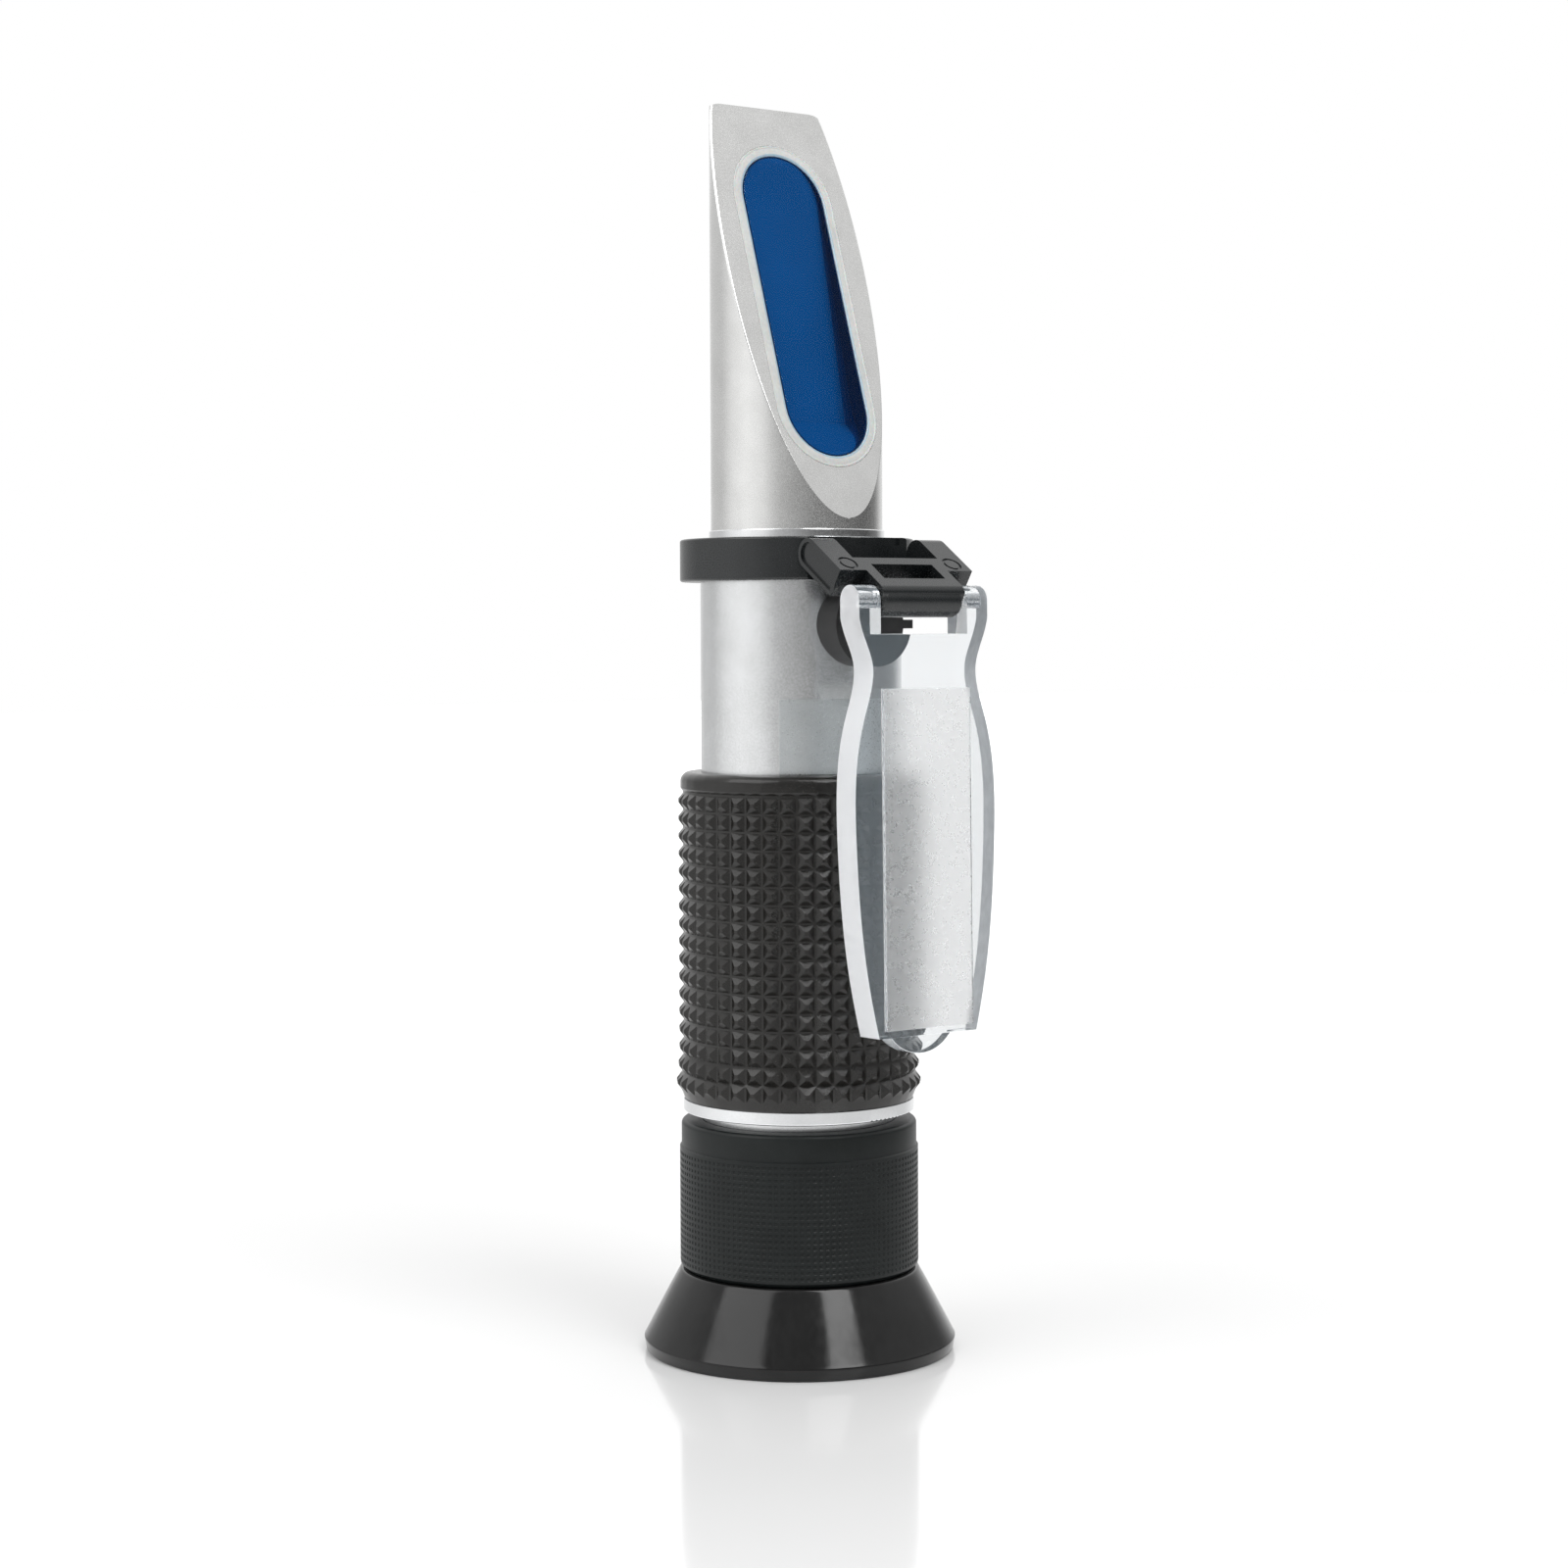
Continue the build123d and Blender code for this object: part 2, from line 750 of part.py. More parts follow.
def make_eyepiece_tube():
    shoulder_z = eyepiece_stack()["shoulder"]
    flange_top_z = eyepiece_flange_z + eyepiece_flange_h
    return lathe(
        [
            (eyepiece_bore_r, eyepiece_bottom_z),
            (eyepiece_r, eyepiece_bottom_z),
            (eyepiece_r, eyepiece_flange_z),
            (flange_land_r, eyepiece_flange_z),
            (flange_land_r, flange_top_z),
            (eyepiece_r, flange_top_z),
            (eyepiece_r, eyepiece_top_z),
            (eyepiece_throat_r, eyepiece_top_z),
            (eyepiece_throat_r, shoulder_z),
            (eyepiece_bore_r, shoulder_z),
        ]
    )


def make_focus_ring():
    sleeve_bore_r = tube_r + running_gap
    return lathe(
        [
            (sleeve_bore_r, ring_top_z),
            (ring_band_r, ring_top_z),
            (ring_band_r, ring_knurl_top_z + ring_step_h),
            (ring_knurl_r, ring_knurl_top_z),
            (ring_knurl_r, eyecup_neck_z + ring_edge),
            (ring_knurl_r - ring_edge, eyecup_neck_z),
            (spigot_r, eyecup_neck_z),
            (spigot_r, spigot_bottom_z),
            (thread_land_r, spigot_bottom_z),
            (thread_land_r, ring_shoulder_z),
            (sleeve_bore_r, ring_shoulder_z),
        ],
        rounds=[(1, ring_edge)],
    )


def make_lock_ring():
    return tube(
        thread_land_r - seat_gap,
        eyepiece_r + running_gap,
        spigot_bottom_z,
        spigot_bottom_z + lock_ring_h,
    )


def make_eyecup():
    lip_top_z = eyecup_hollow_z + eyecup_lip_h
    seat_r = spigot_r + seat_gap
    return lathe(
        [
            (eyecup_rim_r - eyecup_mouth_wall, 0),
            (eyecup_rim_r, 0),
            (eyecup_rim_r, eyecup_rim_h),
            (eyecup_shoulder_r, eyecup_rim_h),
            (eyecup_neck_r, eyecup_neck_z - seat_gap),
            (seat_r, eyecup_neck_z - seat_gap),
            (seat_r, lip_top_z),
            (eyecup_aperture_r, lip_top_z),
            (eyecup_aperture_r, eyecup_hollow_z),
            (eyecup_hollow_r, eyecup_hollow_z),
        ]
    )


def make_pieces():
    stack = eyepiece_stack()
    lens_r = eyepiece_bore_r - seat_gap
    flange_bore_r = tube_r + seat_gap
    return {
        "prism_housing": make_prism_housing(),
        "main_prism": make_main_prism(),
        "prism_seal": make_prism_seal(),
        "prism_clamp": make_prism_clamp(),
        "trim_ring": tube(trim_ring_r, tube_neck_r, tube_top_z, trim_top_z),
        "hinge_collar": make_hinge_collar(),
        "collar_set_screws": Compound(children=[make_set_screw(place) for place in screw_places()]),
        "link_pin": rod_x(pin_r, pin_half_length, hinge_pin_place),
        "body_tube": make_body_tube(),
        "label_plate": make_label(),
        "grip_sleeve": make_grip(),
        "end_flange": lathe(
            [
                (flange_bore_r, flange_z),
                (tube_r + flange_wall, flange_z),
                (tube_r + flange_wall, flange_z + flange_h),
                (flange_bore_r, flange_z + flange_h),
            ],
            rounds=[(1, flange_edge)],
        ),
        "objective_cell": make_objective_cell(),
        "objective_lens": lens(
            cell_bore_r - seat_gap,
            objective_z - lens_seat_h + lens_gap,
            objective_z - lens_seat_h + lens_gap + objective_edge + 2 * lens_crown,
            lens_crown,
        ),
        "compensation_strip": make_compensation_strip(),
        "compensation_screw": make_compensation_screw(),
        "reticle_holder": make_reticle_holder(),
        "reticle": make_reticle(),
        "field_stop": make_field_stop(),
        "calibration_bush": make_calibration_bush(),
        "calibration_screw": make_calibration_screw(),
        "calibration_cap": make_calibration_cap(),
        "hinge_link": make_hinge_link(),
        "cover_pin": rod_x(cover_pin_r, cover_pin_half, cover_axis),
        "cover_plate": make_cover_plate(),
        "eyepiece_tube": make_eyepiece_tube(),
        "lens_retaining_ring": tube(lens_r, retainer_bore_r, *stack["retainer"]),
        "eye_lens": lens(lens_r, *stack["eye_lens"], lens_crown),
        "lens_spacer": tube(lens_r, eyepiece_throat_r, *stack["spacer"]),
        "field_lens": lens(lens_r, *stack["field_lens"], lens_crown),
        "focus_ring": make_focus_ring(),
        "lock_ring": make_lock_ring(),
        "eyecup": make_eyecup(),
    }


for name, piece in make_pieces().items():
    export_step(piece, f"parts/{name}.step")
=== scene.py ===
"""Brix refractometer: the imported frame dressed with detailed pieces, materials, floor, lights and camera.

Lengths are in millimetres and become metres in the mesh helpers; those of the floor, the lights and
the camera are in metres. The front of the object is -Y and the optical axis is Z. Rho is the distance
from the axis towards the front.
"""

import json
import math

import bmesh
import bpy
from mathutils import Matrix, Vector


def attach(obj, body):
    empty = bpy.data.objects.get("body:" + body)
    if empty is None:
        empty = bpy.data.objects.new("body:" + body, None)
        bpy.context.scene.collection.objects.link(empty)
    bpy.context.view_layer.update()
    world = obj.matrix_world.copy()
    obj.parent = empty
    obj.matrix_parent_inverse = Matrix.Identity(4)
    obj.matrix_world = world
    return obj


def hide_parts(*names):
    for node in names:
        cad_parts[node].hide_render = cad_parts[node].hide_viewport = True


MM = 0.001
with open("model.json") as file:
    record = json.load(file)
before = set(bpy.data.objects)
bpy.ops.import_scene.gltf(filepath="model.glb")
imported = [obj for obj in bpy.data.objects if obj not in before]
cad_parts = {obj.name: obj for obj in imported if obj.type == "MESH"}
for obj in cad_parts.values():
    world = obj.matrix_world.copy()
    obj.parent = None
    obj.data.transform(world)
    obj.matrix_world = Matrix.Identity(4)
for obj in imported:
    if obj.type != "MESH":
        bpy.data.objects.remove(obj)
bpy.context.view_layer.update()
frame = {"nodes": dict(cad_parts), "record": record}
nodes = frame["nodes"]

# Sizes shared with the solid model
GRIP_BOTTOM, GRIP_TOP = 32.4, 74.4
RING_BOTTOM, RING_KNURL_TOP, RING_TOP = 10.55, 26.25, 29.65
TUBE_R = 12.4
HOUSING_R, HOUSING_LOW, HOUSING_HIGH = 11.0, 105.2, 160.0
FACE_FOOT_RHO, FACE_TOP_RHO, FACE_FOOT_Z = 10.95, -6.6, 106.7
FACE_RISE = HOUSING_HIGH - FACE_FOOT_Z
FACE_TILT = math.atan2(FACE_FOOT_RHO - FACE_TOP_RHO, FACE_RISE)
FACE_LENGTH = FACE_RISE / math.cos(FACE_TILT)
WINDOW_LOW, WINDOW_HALF, WINDOW_TOP_MARGIN = 8.1, 6.3, 6.74
WINDOW_HIGH = FACE_LENGTH - WINDOW_TOP_MARGIN

# Camera of the photograph
VIEW_TURN = math.radians(36.5)
VIEW_DISTANCE = 0.383
VIEW_HEIGHT = 0.0923
FOCAL_PX = 3037.9
AXIS_PX, HORIZON_PX = (813.7, 644.6)
PICTURE_PX = 1600.0
SENSOR_WIDTH = 36.0  # millimetres, as Blender takes it
VIEW_SHIFT_PX = 56.0  # how far the frame is shifted down, the rest is a small tilt
VIEW_ROLL = math.radians(-0.233)
TOWARDS_CAMERA = Vector((-math.sin(VIEW_TURN), -math.cos(VIEW_TURN), 0))
PICTURE_RIGHT = Vector((math.cos(VIEW_TURN), -math.sin(VIEW_TURN), 0))

# Shader helpers

MIX_FACTOR, MIX_A, MIX_B, MIX_RESULT = 0, 6, 7, 2  # a Mix node's sockets when it mixes colours
WHITE = (1, 1, 1, 1)


def tree_of(name):
    mat = bpy.data.materials.new(name)
    mat.use_nodes = True
    tree = mat.node_tree
    tree.nodes.clear()
    return mat, tree


def add(tree, kind, **inputs):
    """A new node with some of its inputs set; names that aren't inputs are node settings."""
    node = tree.nodes.new(kind)
    for key, value in inputs.items():
        socket = node.inputs.get(key.replace("_", " "))
        if socket is None:
            setattr(node, key, value)
        else:
            socket.default_value = value
    return node


def feed(tree, value, socket):
    """Links another node's output to a socket, or sets a constant on it."""
    if isinstance(value, bpy.types.NodeSocket):
        tree.links.new(value, socket)
    else:
        socket.default_value = value


def maths(tree, operation, *values):
    """Math node over other nodes' outputs and numbers."""
    node = add(tree, "ShaderNodeMath", operation=operation)
    for value, socket in zip(values, node.inputs):
        feed(tree, value, socket)
    return node.outputs[0]


def noise(tree, scale, detail=2.0, rough=0.5, stretch=(1, 1, 1)):
    """Noise in the object's own space, with its scale in features per millimetre."""
    coords = add(tree, "ShaderNodeTexCoord")
    mapping = add(tree, "ShaderNodeMapping", Scale=[scale / MM * s for s in stretch])
    tree.links.new(coords.outputs["Object"], mapping.inputs["Vector"])
    tex = add(tree, "ShaderNodeTexNoise", Scale=1.0, Detail=detail, Roughness=rough)
    tree.links.new(mapping.outputs["Vector"], tex.inputs["Vector"])
    return tex.outputs["Fac"]


def ramp(tree, fac, low, high, a, b):
    """Maps fac from low..high onto a..b, clamped."""
    node = add(tree, "ShaderNodeMapRange", From_Min=low, From_Max=high, To_Min=a, To_Max=b)
    tree.links.new(fac, node.inputs["Value"])
    return node.outputs["Result"]


def mix_colours(tree, fac, a, b):
    """Colour a where fac is 0 and b where it is 1."""
    node = add(tree, "ShaderNodeMix", data_type="RGBA")
    for value, place in ((fac, MIX_FACTOR), (a, MIX_A), (b, MIX_B)):
        feed(tree, value, node.inputs[place])
    return node.outputs[MIX_RESULT]


def mix_shaders(tree, fac, a, b):
    """Shader a where fac is 0 and b where it is 1."""
    node = add(tree, "ShaderNodeMixShader")
    for value, socket in zip((fac, a.outputs[0], b.outputs[0]), node.inputs):
        feed(tree, value, socket)
    return node


def bump(tree, height, distance):
    """Normals from a height map whose full height is distance millimetres."""
    node = add(tree, "ShaderNodeBump", Strength=1.0, Distance=distance * MM)
    tree.links.new(height, node.inputs["Height"])
    return node.outputs["Normal"]


def end_with(tree, shader, kind="ShaderNodeOutputMaterial"):
    out = add(tree, kind)
    tree.links.new(shader.outputs[0], out.inputs["Surface"])


# Kinds of material


def surface(
    name,
    dark,
    light,
    rough,
    metallic=0.0,
    grain=6.0,
    grain_height=0.004,
    cloud=0.25,
    stretch=(1, 1, 1),
    **sockets,
):
    """Principled surface: colour drifts between dark and light, roughness and bump follow a fine grain."""
    mat, tree = tree_of(name)
    body = add(tree, "ShaderNodeBsdfPrincipled", Metallic=metallic, **sockets)
    clouds = noise(tree, cloud, 3.0, 0.55)
    fine = noise(tree, grain, 2.0, 0.6, stretch)
    mean = maths(tree, "MULTIPLY_ADD", fine, 0.5, maths(tree, "MULTIPLY", clouds, 0.5))
    share = ramp(tree, mean, 0.35, 0.65, 0.0, 1.0)
    tree.links.new(mix_colours(tree, share, (*dark, 1), (*light, 1)), body.inputs["Base Color"])
    tree.links.new(ramp(tree, fine, 0.3, 0.7, rough[0], rough[1]), body.inputs["Roughness"])
    tree.links.new(bump(tree, fine, grain_height), body.inputs["Normal"])
    end_with(tree, body)
    return mat


def clear(name, colour, rough=(0.0, 0.02), ior=1.49, haze=0.0, haze_colour=(0.72, 0.88, 1.0)):
    """Solid clear plastic or glass, with a little haze inside it."""
    mat, tree = tree_of(name)
    body = add(tree, "ShaderNodeBsdfPrincipled", IOR=ior, Transmission_Weight=1.0)
    fine = noise(tree, 0.8, 2.0)
    lighter = [min(1.0, c * 1.03) for c in colour]
    share = ramp(tree, fine, 0.3, 0.7, 0.0, 1.0)
    tree.links.new(mix_colours(tree, share, (*colour, 1), (*lighter, 1)), body.inputs["Base Color"])
    tree.links.new(ramp(tree, fine, 0.3, 0.7, rough[0], rough[1]), body.inputs["Roughness"])
    milk = add(tree, "ShaderNodeBsdfDiffuse", Color=(*haze_colour, 1))
    milkiness = ramp(tree, fine, 0.3, 0.7, haze * 0.9, haze * 1.1)
    end_with(tree, mix_shaders(tree, milkiness, body, milk))
    return mat


def thin_glass(name, tint, ior):
    """Thin clear layer: lets light through and adds a gloss by its angle."""
    mat, tree = tree_of(name)
    through = add(tree, "ShaderNodeBsdfTransparent", Color=(*tint, 1))
    gloss = add(tree, "ShaderNodeBsdfGlossy", Roughness=0.02)
    fresnel = add(tree, "ShaderNodeFresnel", IOR=ior)
    fine = noise(tree, 0.6, 2.0)
    tree.links.new(bump(tree, fine, 0.0005), gloss.inputs["Normal"])
    end_with(tree, mix_shaders(tree, fresnel.outputs[0], through, gloss))
    return mat


def frosted_plastic(name):
    """Clear plastic whose moulded face is covered with fine crystalline grain."""
    mat, tree = tree_of(name)
    body = add(tree, "ShaderNodeBsdfPrincipled", IOR=1.49, Transmission_Weight=1.0, Base_Color=WHITE)
    fine = noise(tree, 8.5, 2.0, 0.6)
    broad = noise(tree, 0.9, 2.0, 0.6)
    tree.links.new(ramp(tree, broad, 0.3, 0.7, 0.24, 0.34), body.inputs["Roughness"])
    tree.links.new(bump(tree, fine, 0.02), body.inputs["Normal"])
    crystals = add(tree, "ShaderNodeBsdfTranslucent", Color=(0.98, 1.0, 1.0, 1))
    milk = add(tree, "ShaderNodeBsdfDiffuse", Color=(0.98, 0.99, 1.0, 1))
    grains = mix_shaders(tree, 0.6, crystals, milk)
    end_with(tree, mix_shaders(tree, ramp(tree, fine, 0.40, 0.56, 0.14, 0.62), body, grains))
    return mat


def prism_shade_tone(name, share):
    """Blue of the prism's block, from its back face (share 0) to the darkest painted shade on its walls
    (share 1).
    """
    # The wall colour is painted shade, a darker copy of the back face's blue
    back, wall = (0.001, 0.079, 0.255), (0.004, 0.031, 0.098)
    colour = [a + (b - a) * share for a, b in zip(back, wall)]
    lighter = [c * 1.1 for c in colour]
    return surface(
        name, colour, lighter, (0.5, 0.6), grain=0.1, grain_height=0.0, cloud=0.05, Specular_IOR_Level=0.05
    )


# Metals

satin_aluminium = surface(
    "satin_aluminium", (0.76, 0.76, 0.75), (0.86, 0.86, 0.85), (0.2, 0.3), 1.0, grain=5.5, grain_height=0.005
)
tube_aluminium = surface(
    "tube_aluminium",
    (0.74, 0.75, 0.75),
    (0.84, 0.85, 0.86),
    (0.18, 0.26),
    1.0,
    grain=4.0,
    grain_height=0.0025,
)
bright_aluminium = surface(
    "bright_aluminium",
    (0.80, 0.81, 0.82),
    (0.90, 0.91, 0.92),
    (0.12, 0.2),
    1.0,
    grain=3.0,
    grain_height=0.0008,
)
black_aluminium = surface(
    "black_aluminium",
    (0.012, 0.012, 0.013),
    (0.026, 0.026, 0.028),
    (0.42, 0.55),
    0.3,
    grain=6.0,
    grain_height=0.002,
)
label_foil = surface(
    "label_foil", (0.60, 0.63, 0.64), (0.68, 0.71, 0.72), (0.26, 0.36), 0.9, grain=5.0, grain_height=0.002
)
spring_steel = surface(
    "spring_steel", (0.42, 0.42, 0.43), (0.56, 0.56, 0.57), (0.2, 0.34), 1.0, grain=4.0, grain_height=0.001
)
dark_steel = surface(
    "dark_steel", (0.05, 0.05, 0.055), (0.10, 0.10, 0.105), (0.3, 0.45), 0.8, grain=5.0, grain_height=0.002
)
brass = surface(
    "brass", (0.48, 0.33, 0.11), (0.62, 0.44, 0.17), (0.22, 0.36), 1.0, grain=4.0, grain_height=0.0015
)
bimetal = surface(
    "bimetal", (0.36, 0.28, 0.20), (0.46, 0.40, 0.34), (0.28, 0.4), 1.0, grain=3.0, grain_height=0.001
)

# Black plastic and rubber

black_plastic = surface(
    "black_plastic",
    (0.007, 0.009, 0.010),
    (0.013, 0.015, 0.016),
    (0.22, 0.32),
    grain=7.0,
    grain_height=0.002,
    Specular_IOR_Level=0.62,
)
grip_rubber = surface(
    "grip_rubber", (0.010, 0.009, 0.008), (0.018, 0.017, 0.015), (0.17, 0.27), grain=6.0, grain_height=0.004
)
cap_rubber = surface(
    "cap_rubber", (0.014, 0.014, 0.015), (0.028, 0.028, 0.029), (0.45, 0.6), grain=6.0, grain_height=0.003
)
ring_black = surface(
    "ring_black",
    (0.006, 0.008, 0.008),
    (0.012, 0.015, 0.015),
    (0.34, 0.44),
    grain=7.0,
    grain_height=0.002,
    Specular_IOR_Level=0.3,
)
eyecup_rubber = surface(
    "eyecup_rubber",
    (0.006, 0.006, 0.006),
    (0.011, 0.011, 0.011),
    (0.10, 0.17),
    grain=1.2,
    grain_height=0.002,
    stretch=(1, 1, 0.3),
    Specular_IOR_Level=0.4,
)

# Prism, its seal, the clear plate and the lenses

# The mid, deep and navy tones are painted shade on the block's walls
prism_blue = prism_shade_tone("prism_blue", 0.0)
prism_mid_painted_shade = prism_shade_tone("prism_mid_painted_shade", 0.35)
prism_deep_painted_shade = prism_shade_tone("prism_deep_painted_shade", 0.7)
prism_navy_painted_shade = prism_shade_tone("prism_navy_painted_shade", 1.0)
seal_silicone = surface(
    "seal_silicone",
    (0.56, 0.57, 0.56),
    (0.66, 0.67, 0.65),
    (0.28, 0.4),
    grain=2.5,
    grain_height=0.003,
    Subsurface_Weight=0.2,
    Subsurface_Scale=0.001,
)
# Inner lip: clear silicone with the blue light from the prism painted into its colour
seal_lip_painted_blue_light = surface(
    "seal_lip_painted_blue_light",
    (0.34, 0.47, 0.56),
    (0.44, 0.56, 0.64),
    (0.15, 0.25),
    grain=2.5,
    grain_height=0.002,
    Subsurface_Weight=0.2,
    Subsurface_Scale=0.001,
)
prism_cover_glass = thin_glass("prism_cover_glass", (0.95, 0.97, 1.0), 1.12)
acrylic = clear("acrylic", (0.985, 0.995, 1.0), haze=0.06)
acrylic_side = clear(
    "acrylic_side", (0.98, 0.99, 1.0), (0.3, 0.4), haze=0.64, haze_colour=(0.97, 0.98, 1.0)
)
acrylic_frosted = frosted_plastic("acrylic_frosted")
lens_glass = clear("lens_glass", (0.95, 0.97, 0.98), ior=1.52)

# Finishes of the nodes that keep their solid's own mesh

NODE_FINISH = {
    "prism_clamp": spring_steel,
    "body_tube": tube_aluminium,
    "collar_set_screws": dark_steel,
    "link_pin": spring_steel,
    "cover_pin": spring_steel,
    "objective_cell": black_aluminium,
    "objective_lens": lens_glass,
    "compensation_strip": bimetal,
    "compensation_screw": spring_steel,
    "reticle_holder": black_aluminium,
    "reticle": lens_glass,
    "field_stop": black_aluminium,
    "calibration_bush": brass,
    "calibration_screw": brass,
    "eyepiece_tube": black_aluminium,
    "lens_retaining_ring": black_aluminium,
    "eye_lens": lens_glass,
    "lens_spacer": black_aluminium,
    "field_lens": lens_glass,
    "lock_ring": brass,
}
for node_name, finish in NODE_FINISH.items():
    for slot in nodes[node_name].material_slots:
        slot.material = finish

# Mesh helpers

CORNERS = ((-1, -1), (1, -1), (1, 1), (-1, 1))
ROUND_ANGLE = 32.0  # edges that turn by more degrees are rounded on dressed pieces
FLAT_ANGLE = 0.4  # facets that turn by fewer degrees become one on dressed pieces


def linked(name, data):
    """Object in the scene around a mesh, a light or a camera."""
    obj = bpy.data.objects.new(name, data)
    bpy.context.scene.collection.objects.link(obj)
    return obj


def mesh_from(name, bm):
    mesh = bpy.data.meshes.new(name)
    bm.to_mesh(mesh)
    bm.free()
    return mesh


def new_piece(name, bm, body, finishes, smooth_angle=30.0, replaces=()):
    """Object from a bmesh in metres, riding on a body, with its finishes and smooth shading."""
    mesh = mesh_from(name, bm)
    for finish in finishes:
        mesh.materials.append(finish)
    mesh.shade_smooth()
    mesh.set_sharp_from_angle(angle=math.radians(smooth_angle))
    obj = linked(name, mesh)
    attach(obj, body)
    if replaces:
        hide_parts(*replaces)
    return obj


def body_of_node(node_name):
    for body, members in frame["record"]["behaviour"]["bodies"].items():
        if node_name in members:
            return body
    return None


def weigh_normals(obj, keep_sharp):
    flat = obj.modifiers.new("shading", "WEIGHTED_NORMAL")
    flat.keep_sharp = keep_sharp
    flat.weight = 100


def soften(obj, width, segments):
    """Rounds an object's sharp edges by width."""
    bevel = obj.modifiers.new("edges", "BEVEL")
    bevel.width = width * MM
    bevel.segments = segments
    bevel.limit_method = "ANGLE"
    bevel.angle_limit = math.radians(ROUND_ANGLE)
    bevel.use_clamp_overlap = True
    bevel.harden_normals = True
    weigh_normals(obj, False)


def dressed(node_name, name, finish, width, segments=3):
    """Copy of a CAD node with its sharp edges rounded by width."""
    bm = bmesh.new()
    bm.from_mesh(nodes[node_name].data)
    for face in bm.faces:
        face.material_index = 0
    bmesh.ops.remove_doubles(bm, verts=bm.verts, dist=1e-7)
    bmesh.ops.dissolve_limit(
        bm,
        angle_limit=math.radians(FLAT_ANGLE),
        verts=bm.verts,
        edges=bm.edges,
        use_dissolve_boundaries=False,
    )
    obj = new_piece(name, bm, body_of_node(node_name), [finish], ROUND_ANGLE, [node_name])
    soften(obj, width, segments)
    return obj


def ring_strip(bm, loops, index=0, close=False):
    """Quads between loops of vertices that run round the same way."""
    pairs = list(zip(loops, loops[1:]))
    if close:
        pairs.append((loops[-1], loops[0]))
    for low, high in pairs:
        n = len(low)
        for i in range(n):
            face = bm.faces.new((low[i], low[(i + 1) % n], high[(i + 1) % n], high[i]))
            face.material_index = index


def circle(bm, radius, z, angles):
    return [bm.verts.new((radius * MM * math.cos(a), radius * MM * math.sin(a), z * MM)) for a in angles]


def arc_profile(centre, radius, start, end, steps):
    """Points on an arc in a plane, angles in degrees."""
    points = []
    for i in range(steps + 1):
        a = math.radians(start + (end - start) * i / steps)
        points.append((centre[0] + radius * math.cos(a), centre[1] + radius * math.sin(a)))
    return points


def on_face(x, v, depth):
    """Point on the slanted face's own axes, in metres: across, up the face, into the body."""
    s, c = math.sin(FACE_TILT), math.cos(FACE_TILT)
    rho = FACE_FOOT_RHO - v * s - depth * c
    z = FACE_FOOT_Z + v * c - depth * s
    return Vector((x * MM, -rho * MM, z * MM))


def window_outline(offset):
    """Points (across, up the face) of the window's outline, grown by offset."""
    r, steps = WINDOW_HALF + offset, 24
    top = arc_profile((0.0, WINDOW_HIGH - WINDOW_HALF), r, 0, 180, steps)
    bottom = arc_profile((0.0, WINDOW_LOW + WINDOW_HALF), r, 180, 360, steps)
    return top + bottom


def face_loop(bm, outline, depth):
    """Vertices along an outline on the slanted face."""
    return [bm.verts.new(on_face(x, v, depth)) for x, v in outline]


# Studded and knurled sleeves

STUD_TURN = 41.2  # degrees to the left of the front at which a column of studs stands
FIRST_COLUMN = math.radians(-90 - STUD_TURN)
BROKEN_EDGE = 0.1


def waffle_wall(columns, rows, low_z, pitch, radius, relief, base, tip, flare):
    """Wall round the axis with a grid of four-sided studs, or of pits where relief is below zero.

    Base and tip are half widths of a stud as shares of the pitch, and flare says how much further out
    single rows stand. Returns the mesh, the loops of its rows and the angles that they share.
    """
    bm = bmesh.new()
    step = 2 * math.pi / columns
    angles = []
    for column in range(columns):
        middle = FIRST_COLUMN + column * step
        angles += [middle - base * step, middle + base * step]
    loops = []
    for row in range(rows):
        middle_z = low_z + (row + 0.5) * pitch
        root_r = radius + flare.get(row, 0.0)
        loops.append(circle(bm, root_r, middle_z - base * pitch, angles))
        loops.append(circle(bm, root_r, middle_z + base * pitch, angles))
    count = len(angles)
    for index, (low, high) in enumerate(zip(loops, loops[1:])):
        for i in range(count):
            j = (i + 1) % count
            foot = (low[i], low[j], high[j], high[i])
            if index % 2 == 1 or i % 2 == 1:
                bm.faces.new(foot)
                continue
            row, column = index // 2, i // 2
            middle = FIRST_COLUMN + column * step
            middle_z = low_z + (row + 0.5) * pitch
            tip_r = (radius + flare.get(row, 0.0) + relief) * MM
            top = []
            for across, up in CORNERS:
                a = middle + across * tip * step
                z = middle_z + up * tip * pitch
                top.append(bm.verts.new((tip_r * math.cos(a), tip_r * math.sin(a), z * MM)))
            ring_strip(bm, [foot, top])
            bm.faces.new(top)
    return bm, loops, angles


def close_sleeve(bm, loops, angles, profile):
    """Leads from a wall's top loop along a profile, over both ends and the bore, to its lowest loop."""
    ring_strip(bm, [loops[-1]] + [circle(bm, r, z, angles) for r, z in profile] + [loops[0]])
    bmesh.ops.recalc_face_normals(bm, faces=bm.faces)


# Rubber grip with its pyramid studs

GRIP_COLUMNS, GRIP_ROWS, GRIP_PITCH = 42, 17, 2.256
STUD_ROOT_R, STUD_HEIGHT = 14.8, 0.58
STUD_BASE, STUD_TIP = 0.44, 0.1
STUD_FLARE = {0: 0.35, 1: 0.12}  # the lowest rows stand out a little further
GRIP_RIM_R, GRIP_RIM_H, GRIP_RIM_ROUND = 15.1, 2.35, 1.2
GRIP_GROOVE = 0.25
GRIP_BORE_GAP = 0.02


